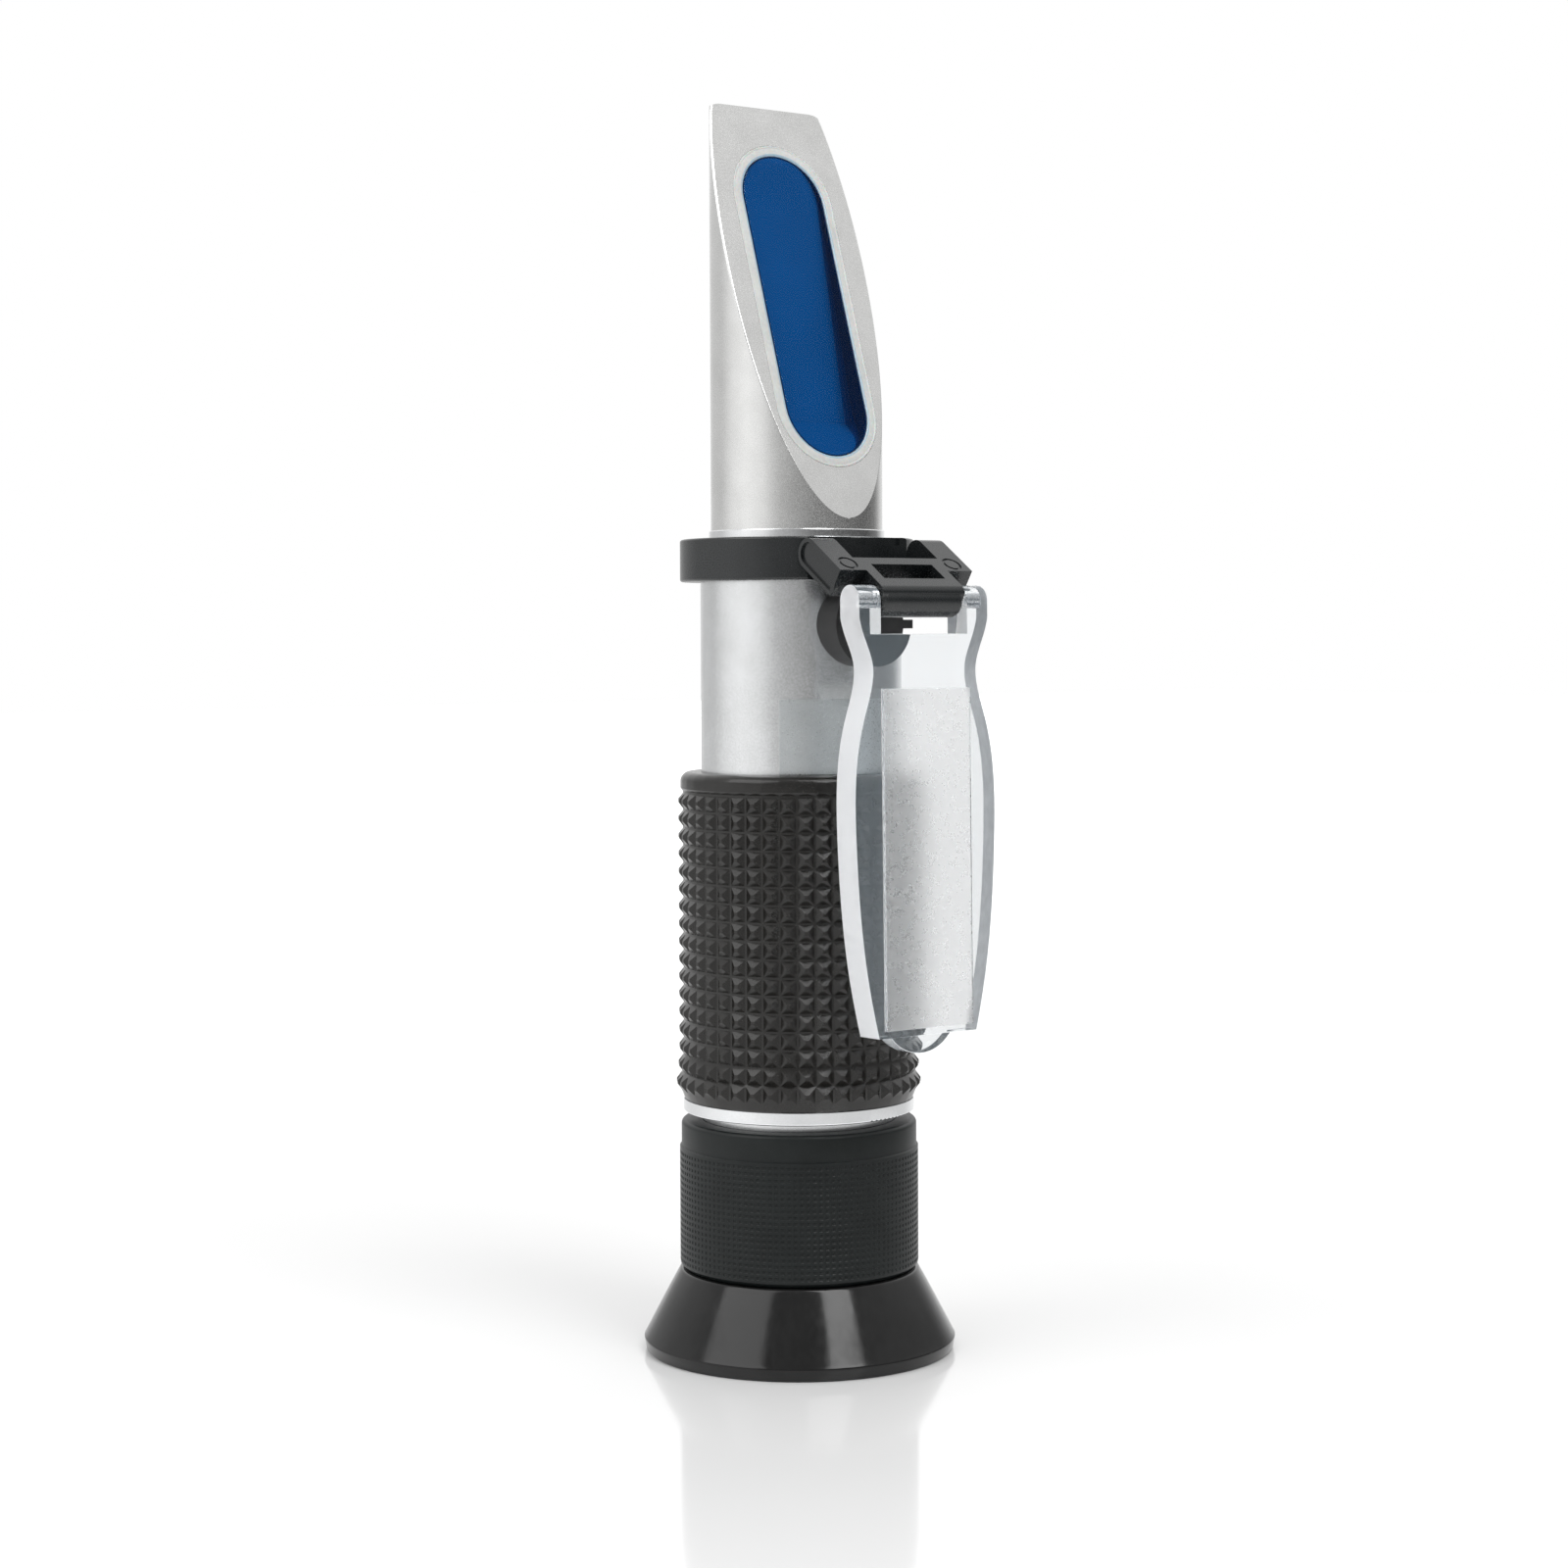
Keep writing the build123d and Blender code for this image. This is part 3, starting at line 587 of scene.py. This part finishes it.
def make_grip():
    rim_z = GRIP_TOP - GRIP_RIM_H
    first_z = rim_z - GRIP_GROOVE - GRIP_ROWS * GRIP_PITCH
    bm, loops, angles = waffle_wall(
        columns=GRIP_COLUMNS,
        rows=GRIP_ROWS,
        low_z=first_z,
        pitch=GRIP_PITCH,
        radius=STUD_ROOT_R,
        relief=STUD_HEIGHT,
        base=STUD_BASE,
        tip=STUD_TIP,
        flare=STUD_FLARE,
    )
    bore = TUBE_R + GRIP_BORE_GAP
    rim_centre = (GRIP_RIM_R - GRIP_RIM_ROUND, GRIP_TOP - GRIP_RIM_ROUND)
    rim = [
        (STUD_ROOT_R, rim_z - BROKEN_EDGE),
        (STUD_ROOT_R + BROKEN_EDGE, rim_z + 0.02),
        (GRIP_RIM_R - 0.12, rim_z + BROKEN_EDGE),
        (GRIP_RIM_R, rim_z + 0.3),
    ]
    rim += arc_profile(rim_centre, GRIP_RIM_ROUND, 0, 90, 8)
    inside = [
        (bore + BROKEN_EDGE, GRIP_TOP),
        (bore, GRIP_TOP - BROKEN_EDGE),
        (bore, GRIP_BOTTOM + BROKEN_EDGE / 2),
        (bore + BROKEN_EDGE / 2, GRIP_BOTTOM),
        (STUD_ROOT_R - BROKEN_EDGE, GRIP_BOTTOM),
    ]
    close_sleeve(bm, loops, angles, rim + inside)
    new_piece("grip_studded", bm, "main_body", [grip_rubber], 28.0, ["grip_sleeve"])


make_grip()

# Focus ring: smooth band over a fine waffle knurl

KNURL_COLUMNS, KNURL_ROWS = 120, 19
KNURL_R, KNURL_BREAK = 15.37, 0.08
KNURL_LOW_MARGIN, KNURL_HIGH_MARGIN = 0.75, 0.35
PIT_OPEN, PIT_FLOOR, PIT_DEPTH = 0.3, 0.18, 0.08
BAND_R, BAND_ROUND = 15.15, 0.6
RING_BORE_GAP = 0.05
COUNTERBORE_R, COUNTERBORE_TOP = 13.25, 13.6
SKIRT_R, SKIRT_LOW = 14.1, 7.69


def make_focus_ring():
    low_z, high_z = RING_BOTTOM + KNURL_LOW_MARGIN, RING_KNURL_TOP - KNURL_HIGH_MARGIN
    pitch = (high_z - low_z) / KNURL_ROWS
    bm, loops, angles = waffle_wall(
        columns=KNURL_COLUMNS,
        rows=KNURL_ROWS,
        low_z=low_z,
        pitch=pitch,
        radius=KNURL_R,
        relief=-PIT_DEPTH,
        base=PIT_OPEN,
        tip=PIT_FLOOR,
        flare={},
    )
    bore = TUBE_R + RING_BORE_GAP
    band = [
        (KNURL_R, RING_KNURL_TOP - KNURL_BREAK),
        (KNURL_R - KNURL_BREAK, RING_KNURL_TOP),
        (BAND_R, RING_KNURL_TOP + KNURL_BREAK),
    ]
    band += arc_profile((BAND_R - BAND_ROUND, RING_TOP - BAND_ROUND), BAND_ROUND, 0, 90, 6)
    inside = [
        (bore + BROKEN_EDGE, RING_TOP),
        (bore, RING_TOP - BROKEN_EDGE),
        (bore, COUNTERBORE_TOP + BROKEN_EDGE),
        (COUNTERBORE_R, COUNTERBORE_TOP),
        (COUNTERBORE_R, SKIRT_LOW + BROKEN_EDGE),
    ]
    skirt = [
        (COUNTERBORE_R + BROKEN_EDGE / 2, SKIRT_LOW),
        (SKIRT_R - BROKEN_EDGE / 2, SKIRT_LOW),
        (SKIRT_R, SKIRT_LOW + BROKEN_EDGE),
        (SKIRT_R, RING_BOTTOM),
    ]
    shoulder = [
        (KNURL_R - 0.75, RING_BOTTOM),
        (KNURL_R - 0.6, RING_BOTTOM + 0.03),
        (KNURL_R - 0.05, RING_BOTTOM + 0.55),
    ]
    close_sleeve(bm, loops, angles, band + inside + skirt + shoulder)
    new_piece("focus_ring_knurled", bm, "focus", [ring_black], 28.0, ["focus_ring"])


make_focus_ring()

# Prism: a glass layer over the blue block, whose back and end faces show through it; its rim and walls carry
# painted shade in darker blues

PRISM_EDGE = 0.05  # how much smaller than the window the prism is
PRISM_RIM, PRISM_RIM_DEPTH = 0.12, -0.02  # width of the rim round the block, and how deep it lies
BACK_DEPTH_LOW, BACK_DEPTH_SLOPE = 5.75, 0.178
END_CREASE, END_FRONT = 16.3, 8.6
THINNEST = 0.06  # least depth of the back or end face
BLOCK_DEPTH_LOW, BLOCK_DEPTH_HIGH, BLOCK_MIDDLE = 5.95, 3.0, 30.0
# The navy, deep and mid finishes are painted shade: darker copies of the block's blue
BLUE, NAVY_SHADE, DEEP_SHADE, MID_SHADE = range(4)  # the block's finishes in the order in which its mesh lists them
# Down the walls the painted shade lightens from navy near the rim to the blue of the floor
WALL_SHADES = [(0.6, NAVY_SHADE), (0.78, DEEP_SHADE), (0.92, MID_SHADE), (1.0, BLUE)]  # depth share down to which one reaches
GLASS_PROFILE = [(0.0, 0.02), (0.0, -0.08), (-0.1, -0.14), (-0.3, -0.15)]  # growth of the outline, depth
CENTRED = 1e-6  # points nearer to the middle than this are on neither side


def prism_depth_at(v):
    """How deep the block's back or end face lies under the window."""
    back = BACK_DEPTH_LOW - (v - END_CREASE) * BACK_DEPTH_SLOPE
    end = BACK_DEPTH_LOW * (v - END_FRONT) / (END_CREASE - END_FRONT)
    return max(THINNEST, min(back, end))


def block_depth_at(v):
    """How deep the block's outside reaches at the low and at the high end of the window."""
    return BLOCK_DEPTH_LOW if v < BLOCK_MIDDLE else BLOCK_DEPTH_HIGH


def make_prism_block():
    bm = bmesh.new()
    outline = window_outline(-PRISM_EDGE)
    wall = window_outline(-PRISM_EDGE - PRISM_RIM)
    outer_top = face_loop(bm, outline, PRISM_RIM_DEPTH)
    floor = face_loop(bm, wall, PRISM_RIM_DEPTH)
    # Navy painted shade on the rim round the block, and further down on its outer walls and underside
    ring_strip(bm, [outer_top, floor], NAVY_SHADE)
    for share, tone in WALL_SHADES:
        above = floor
        floor = [bm.verts.new(on_face(x, v, share * prism_depth_at(v))) for x, v in wall]
        ring_strip(bm, [above, floor], tone)
    # The floor is cut into strips across, from the low end to the high end
    order = sorted(range(len(wall)), key=lambda i: wall[i][1])
    left = [i for i in order if wall[i][0] < -CENTRED]
    right = [i for i in order if wall[i][0] > CENTRED]
    bm.faces.new((floor[order[0]], floor[right[0]], floor[left[0]]))
    bm.faces.new((floor[order[-1]], floor[left[-1]], floor[right[-1]]))
    for k in range(len(left) - 1):
        bm.faces.new((floor[left[k]], floor[right[k]], floor[right[k + 1]], floor[left[k + 1]]))
    outer_low = [bm.verts.new(on_face(x, v, block_depth_at(v))) for x, v in outline]
    ring_strip(bm, [outer_low, outer_top], NAVY_SHADE)
    underside = bm.faces.new(outer_low)
    underside.material_index = NAVY_SHADE
    bmesh.ops.triangulate(bm, faces=[underside])
    bmesh.ops.recalc_face_normals(bm, faces=bm.faces)
    tones = [prism_blue, prism_navy_painted_shade, prism_deep_painted_shade, prism_mid_painted_shade]
    new_piece("prism_block", bm, "main_body", tones, 20.0, ["main_prism"])


def make_prism_glass():
    bm = bmesh.new()
    loops = [face_loop(bm, window_outline(grow - PRISM_EDGE), depth) for grow, depth in GLASS_PROFILE]
    ring_strip(bm, loops)
    bm.faces.new(loops[-1])
    bm.faces.new(loops[0])
    bmesh.ops.recalc_face_normals(bm, faces=bm.faces)
    new_piece("prism_glass", bm, "main_body", [prism_cover_glass], 40.0, ["main_prism"])


make_prism_block()
make_prism_glass()

# Seal round the prism: an inner lip painted bluish for the blue light from the prism falling on it, a flat
# band and a bead at its outer edge

# The lip's finish carries painted blue light from the prism
SEAL_BAND, SEAL_LIP = range(2)  # the seal's finishes in the order in which its mesh lists them
SEAL_PROFILE = [  # growth of the outline, depth, finish up to the next point
    (0.02, 1.55, SEAL_BAND),
    (0.02, 0.02, SEAL_LIP),
    (0.10, -0.05, SEAL_LIP),
    (0.34, -0.09, SEAL_BAND),
    (0.60, -0.08, SEAL_BAND),
    (1.08, -0.05, SEAL_BAND),
    (1.16, -0.03, SEAL_BAND),
    (1.24, -0.075, SEAL_BAND),
    (1.34, -0.08, SEAL_BAND),
    (1.44, -0.05, SEAL_BAND),
    (1.48, 0.02, SEAL_BAND),
    (1.48, 1.55, SEAL_BAND),
]


def make_seal():
    bm = bmesh.new()
    loops = [face_loop(bm, window_outline(grow), depth) for grow, depth, _ in SEAL_PROFILE]
    for start, end, (_, _, tone) in zip(loops, loops[1:] + loops[:1], SEAL_PROFILE):
        ring_strip(bm, [start, end], tone)
    bmesh.ops.recalc_face_normals(bm, faces=bm.faces)
    finishes = [seal_silicone, seal_lip_painted_blue_light]
    new_piece("seal_ring", bm, "main_body", finishes, 40.0, ["prism_seal"])


make_seal()

# Prism housing: a turned shell cut by the slanted face, with a softly broken edge

HOUSING_BREAK, HOUSING_TOP_BREAK, FACE_CORNER_R = 0.22, 0.45, 1.3
OPENING, OPENING_DEPTH = 1.5, 1.6  # how much wider than the window the seal's hole is, and how deep
COARSE_END, DENSE_START = 0.4, 0.14  # how far below the face's foot the loops change
SLIVER = 0.0005  # least cut of the flat, so that the loops below the face have as many points
FACE_LOOPS, TOP_LOOPS = 90, 5
BACK_STEPS, BREAK_STEPS = 120, 6


def housing_heights():
    """Heights of the shell's loops: dense at the face's foot, where its outline opens quickly."""
    heights = [HOUSING_LOW, HOUSING_LOW + BROKEN_EDGE, FACE_FOOT_Z - COARSE_END]
    start, end = FACE_FOOT_Z - DENSE_START, HOUSING_HIGH - HOUSING_TOP_BREAK
    heights += [start + (end - start) * (i / FACE_LOOPS) ** 2 for i in range(FACE_LOOPS + 1)]
    for i in range(1, TOP_LOOPS + 1):
        heights.append(end + HOUSING_TOP_BREAK * math.sin(0.5 * math.pi * i / TOP_LOOPS))
    return heights


def housing_loop(z):
    """Cross-section of the shell (x, rho): a broken edge, an arc round the back and a broken edge."""
    inset = 0.0
    if z > HOUSING_HIGH - HOUSING_TOP_BREAK:
        rise = (z - HOUSING_HIGH + HOUSING_TOP_BREAK) / HOUSING_TOP_BREAK
        inset = HOUSING_TOP_BREAK * (1 - math.sqrt(max(0.0, 1 - rise * rise)))
    r = HOUSING_R - inset
    flat = min(FACE_FOOT_RHO - (z - FACE_FOOT_Z) * math.tan(FACE_TILT), r - SLIVER)
    centre_rho = flat - HOUSING_BREAK
    centre_x = math.sqrt((r - HOUSING_BREAK) ** 2 - centre_rho**2)
    touch = math.atan2(centre_x, centre_rho)
    limit = math.inf
    below_top = (HOUSING_HIGH - z) / math.cos(FACE_TILT)
    if below_top < FACE_CORNER_R:
        half = math.sqrt(r * r - flat * flat)
        limit = half - FACE_CORNER_R + math.sqrt(FACE_CORNER_R**2 - (FACE_CORNER_R - below_top) ** 2)
    edge = []
    for i in range(BREAK_STEPS + 1):
        a = touch * i / BREAK_STEPS
        edge.append((centre_x + HOUSING_BREAK * math.sin(a), centre_rho + HOUSING_BREAK * math.cos(a)))
    back = []
    for i in range(1, BACK_STEPS):
        a = touch + (2 * math.pi - 2 * touch) * i / BACK_STEPS
        back.append((r * math.sin(a), r * math.cos(a)))
    points = edge + back + [(-x, rho) for x, rho in reversed(edge)]
    return [(max(-limit, min(limit, x)), rho) for x, rho in points]


def make_housing():
    bm = bmesh.new()
    loops = []
    for z in housing_heights():
        loops.append([bm.verts.new((x * MM, -rho * MM, z * MM)) for x, rho in housing_loop(z)])
    for low, high in zip(loops, loops[1:]):
        for i in range(len(low) - 1):
            bm.faces.new((low[i], low[i + 1], high[i + 1], high[i]))
    opening = face_loop(bm, window_outline(OPENING), 0.0)
    ring_strip(bm, [opening, face_loop(bm, window_outline(OPENING), OPENING_DEPTH)])
    outline = [loop[0] for loop in loops] + [loop[-1] for loop in reversed(loops)]
    edges = []
    for ring in (outline, opening):
        for a, b in zip(ring, ring[1:] + ring[:1]):
            edges.append(bm.edges.get((a, b)) or bm.edges.new((a, b)))
    bmesh.ops.triangle_fill(bm, use_beauty=True, use_dissolve=False, edges=edges, normal=(0, -1, 0.3))
    bm.faces.new(loops[-1])
    bm.faces.new(loops[0])
    bmesh.ops.remove_doubles(bm, verts=bm.verts, dist=2e-7)
    bmesh.ops.recalc_face_normals(bm, faces=bm.faces)
    obj = new_piece(
        "housing_shell", bm, "main_body", [satin_aluminium], 50.0, ["prism_housing"]
    )
    weigh_normals(obj, True)


make_housing()

# Eyecup: glossy cone over a lip that draws in towards the rim

EYECUP_STEPS = 180
EYECUP_RIM = [(18.72, 0.0), (19.55, 0.0), (19.72, 0.05), (19.82, 0.18)]
EYECUP_LIP = [(20.06, 1.40), (20.09, 1.52), (20.08, 1.62), (20.02, 1.72), (19.95, 1.84)]
EYECUP_CONE = [(19.84, 2.04), (18.72, 4.18), (17.62, 6.28), (16.52, 8.34), (15.52, 10.14)]
EYECUP_SHOULDER = [(15.44, 10.28), (15.34, 10.40), (15.20, 10.48), (15.00, 10.52), (14.12, 10.53)]
EYECUP_SEAT = [(14.12, 7.65), (11.60, 7.65)]
EYECUP_HOLE = [(11.52, 7.62), (11.50, 7.55), (11.50, 6.50), (11.53, 6.43), (11.60, 6.40)]
EYECUP_HOLLOW = [(15.40, 6.40), (15.50, 6.36), (18.64, 0.10)]


def make_eyecup():
    bm = bmesh.new()
    angles = [2 * math.pi * i / EYECUP_STEPS for i in range(EYECUP_STEPS)]
    outside = EYECUP_RIM + EYECUP_LIP + EYECUP_CONE + EYECUP_SHOULDER
    inside = EYECUP_SEAT + EYECUP_HOLE + EYECUP_HOLLOW
    ring_strip(bm, [circle(bm, r, z, angles) for r, z in outside + inside], close=True)
    bmesh.ops.recalc_face_normals(bm, faces=bm.faces)
    new_piece("eyecup_cone", bm, "focus", [eyecup_rubber], 50.0, ["eyecup"])


make_eyecup()

# Black strip on the tube in the collar's notch behind the link: a dark sheet that stands for the shade there

SHADE_STRIP_SECTION = [(12.41, 103.05), (12.5, 103.05), (12.5, 104.0), (12.41, 104.06)]
SHADE_STRIP_HALF, SHADE_STRIP_STEPS = 6.6, 24


# Painted shade: a thin black sheet just outside the tube where the notch behind the link lies in shade
def make_notch_shade_strip():
    bm = bmesh.new()
    reach = math.asin(SHADE_STRIP_HALF / SHADE_STRIP_SECTION[1][0])
    angles = [-math.pi / 2 - reach + 2 * reach * i / SHADE_STRIP_STEPS for i in range(SHADE_STRIP_STEPS + 1)]
    loops = [circle(bm, r, z, angles) for r, z in SHADE_STRIP_SECTION]
    for low, high in zip(loops, loops[1:] + loops[:1]):
        for i in range(SHADE_STRIP_STEPS):
            bm.faces.new((low[i], low[i + 1], high[i + 1], high[i]))
    for end in (0, -1):
        bm.faces.new([loop[end] for loop in loops])
    bmesh.ops.recalc_face_normals(bm, faces=bm.faces)
    new_piece("notch_shade_strip", bm, "main_body", [black_plastic], 30.0)


make_notch_shade_strip()

# Machined and moulded pieces that keep the solid's shape, with rounded edges

dressed("trim_ring", "trim_band", bright_aluminium, 0.15)
dressed("hinge_collar", "collar_ring", black_plastic, 0.18)
dressed("hinge_link", "link_frame", black_plastic, 0.16)
dressed("end_flange", "flange_band", bright_aluminium, 0.12)
dressed("calibration_cap", "cap_dome", cap_rubber, 0.18)
dressed("label_plate", "label_sheet", label_foil, 0.05)

# Daylight plate

COVER_RHO, COVER_Z = 24.111, 96.013
COVER_TILT = math.radians(0.7)
PLATE_HALF_THICKNESS, PAD_HEIGHT = 1.9, 0.45
PAD_TOLERANCE = 0.05
PAD_FACING, SIDE_FACING = 0.9, 0.6  # least share of a face's normal that points forward or outward
SIDE_FROM = 7.4  # distance from the middle beyond which a face is one of the plate's outer sides
FROSTED, SATIN_SIDE = 1, 2  # the plate's finishes after the clear one


def make_cover():
    """Clear plate with satin outer sides and a frosted pad on its front."""
    plate = dressed("cover_plate", "daylight_plate", acrylic, 0.4, 4)
    plate.data.materials.append(acrylic_frosted)
    plate.data.materials.append(acrylic_side)
    front = Vector((0, -math.cos(COVER_TILT), math.sin(COVER_TILT)))
    origin = Vector((0, -COVER_RHO * MM, COVER_Z * MM))
    pad_height = (PLATE_HALF_THICKNESS + PAD_HEIGHT) * MM
    for face in plate.data.polygons:
        height = (face.center - origin).dot(front)
        on_pad = abs(height - pad_height) < PAD_TOLERANCE * MM
        outward = face.normal.x * math.copysign(1, face.center.x)
        if on_pad and face.normal.dot(front) > PAD_FACING:
            face.material_index = FROSTED
        elif outward > SIDE_FACING and abs(face.center.x) > SIDE_FROM * MM:
            face.material_index = SATIN_SIDE


make_cover()

# Floor

FLOOR_HALF = 3.0
FLOOR_LIFT, FLOOR_LIFT_START, FLOOR_LIFT_END = 0.62, 0.06, 0.9  # emission, and between which radii it grows


def make_floor():
    """Glossy white floor, lifted to the white of the backdrop where the lamps don't reach."""
    bm = bmesh.new()
    bm.faces.new([bm.verts.new((x * FLOOR_HALF, y * FLOOR_HALF, 0)) for x, y in CORNERS])
    floor = linked("floor", mesh_from("floor", bm))
    mat, tree = tree_of("floor_white")
    body = add(
        tree,
        "ShaderNodeBsdfPrincipled",
        Roughness=0.1,
        IOR=1.6,
        Base_Color=(0.9, 0.9, 0.9, 1),
        Emission_Color=WHITE,
    )
    rays = add(tree, "ShaderNodeLightPath")
    coords = add(tree, "ShaderNodeTexCoord")
    reach = add(tree, "ShaderNodeVectorMath", operation="LENGTH")
    tree.links.new(coords.outputs["Object"], reach.inputs[0])
    lift = ramp(tree, reach.outputs["Value"], FLOOR_LIFT_START, FLOOR_LIFT_END, 0.0, FLOOR_LIFT)
    seen_lift = maths(tree, "MULTIPLY", rays.outputs["Is Camera Ray"], lift)
    tree.links.new(seen_lift, body.inputs["Emission Strength"])
    end_with(tree, body)
    floor.data.materials.append(mat)


make_floor()

# World: white all round for the camera, a room with a dark right side for what the pieces mirror

ROOM_LEVELS = [  # brightness at eye level, by degrees to the right of the camera as seen from the object
    (-180, 1.0),
    (-150, 0.62),
    (-116, 0.58),
    (-97, 0.88),
    (-70, 1.08),
    (-45, 0.90),
    (-26, 0.50),
    (0, 0.31),
    (25, 0.16),
    (60, 0.10),
    (104, 0.07),
    (130, 0.20),
    (152, 0.80),
    (180, 1.0),
]
CEILING_LEVELS = [(0.0, 1.25), (0.55, 0.66), (0.64, 0.64), (0.85, 0.42), (1.0, 0.42)]  # back to front
WALL_TOP, CEILING_EDGE = 0.12, 0.5  # how steeply up the walls end and the ceiling begins


def make_world():
    world = bpy.data.worlds.new("studio")
    bpy.context.scene.world = world
    world.use_nodes = True
    tree = world.node_tree
    tree.nodes.clear()
    coords = add(tree, "ShaderNodeTexCoord")

    def along(direction):
        node = add(tree, "ShaderNodeVectorMath", operation="DOT_PRODUCT")
        node.inputs[1].default_value = direction
        tree.links.new(coords.outputs["Generated"], node.inputs[0])
        return node.outputs["Value"]

    def levels(table, place):
        node = add(tree, "ShaderNodeValToRGB")
        stops = node.color_ramp.elements
        for position, _ in table[2:]:
            stops.new(position)
        for stop, (position, level) in zip(stops, table):
            stop.position = position
            stop.color = (level, level, level, 1)
        tree.links.new(place, node.inputs["Fac"])
        return node.outputs["Color"]

    angle = maths(tree, "ARCTAN2", along(PICTURE_RIGHT), along(TOWARDS_CAMERA))
    by_angle = [((turn + 180) / 360, level) for turn, level in ROOM_LEVELS]
    walls = levels(by_angle, ramp(tree, angle, -math.pi, math.pi, 0.0, 1.0))
    ceiling = levels(CEILING_LEVELS, ramp(tree, along(TOWARDS_CAMERA), -1.0, 1.0, 0.0, 1.0))
    up = ramp(tree, along(Vector((0, 0, 1))), WALL_TOP, CEILING_EDGE, 0.0, 1.0)
    room = add(tree, "ShaderNodeBackground")
    tree.links.new(mix_colours(tree, up, walls, ceiling), room.inputs["Color"])
    white = add(tree, "ShaderNodeBackground", Color=WHITE)
    rays = add(tree, "ShaderNodeLightPath")
    # Glass shows the white, but what metal behind the clear plate mirrors is the room
    unmirrored = maths(tree, "LESS_THAN", rays.outputs["Glossy Depth"], 0.5)
    through = maths(tree, "MULTIPLY", rays.outputs["Is Transmission Ray"], unmirrored)
    seen = maths(tree, "MAXIMUM", rays.outputs["Is Camera Ray"], through)
    end_with(tree, mix_shaders(tree, seen, room, white), "ShaderNodeOutputWorld")


make_world()

# Lights

AIM = Vector((0, 0, 0.07))
SOFTBOX_DISTANCE = 0.8


def softbox(name, turn, rise, size, radiance):
    """Area light at an angle to the right of the camera and above eye level, aimed at the object."""
    light = bpy.data.lights.new(name, "AREA")
    light.shape = "RECTANGLE"
    light.size, light.size_y = size
    light.energy = radiance * math.pi * size[0] * size[1]
    obj = linked(name, light)
    a, e = math.radians(turn), math.radians(rise)
    flat = TOWARDS_CAMERA * math.cos(a) + PICTURE_RIGHT * math.sin(a)
    away = flat * math.cos(e) + Vector((0, 0, math.sin(e)))
    obj.location = AIM + away * SOFTBOX_DISTANCE
    obj.rotation_mode = "QUATERNION"
    obj.rotation_quaternion = (-away).to_track_quat("-Z", "Y")


softbox("left_softbox", -58, 44, (0.62, 0.5), 1.9)
softbox("right_softbox", 40, 52, (0.34, 0.55), 5.2)

# Camera


def make_camera():
    """The photograph's camera: mostly shifted, slightly tilted, turned and rolled."""
    data = bpy.data.cameras.new("camera")
    data.sensor_width = SENSOR_WIDTH
    data.lens = FOCAL_PX / PICTURE_PX * SENSOR_WIDTH
    data.clip_start, data.clip_end = 0.01, 20.0
    data.shift_y = -VIEW_SHIFT_PX / PICTURE_PX
    cam = linked("camera", data)
    cam.location = TOWARDS_CAMERA * VIEW_DISTANCE + Vector((0, 0, VIEW_HEIGHT))
    half = PICTURE_PX / 2
    yaw = math.atan2(AXIS_PX - half, FOCAL_PX)
    pitch = math.atan2(half - VIEW_SHIFT_PX - HORIZON_PX, FOCAL_PX)
    level = -TOWARDS_CAMERA * math.cos(yaw) - PICTURE_RIGHT * math.sin(yaw)
    forward = level * math.cos(pitch) - Vector((0, 0, math.sin(pitch)))
    roll = Matrix.Rotation(VIEW_ROLL, 3, "Z").to_quaternion()
    cam.rotation_mode = "QUATERNION"
    cam.rotation_quaternion = forward.to_track_quat("-Z", "Y") @ roll
    bpy.context.scene.camera = cam


make_camera()
bpy.context.scene.view_settings.view_transform = "Standard"
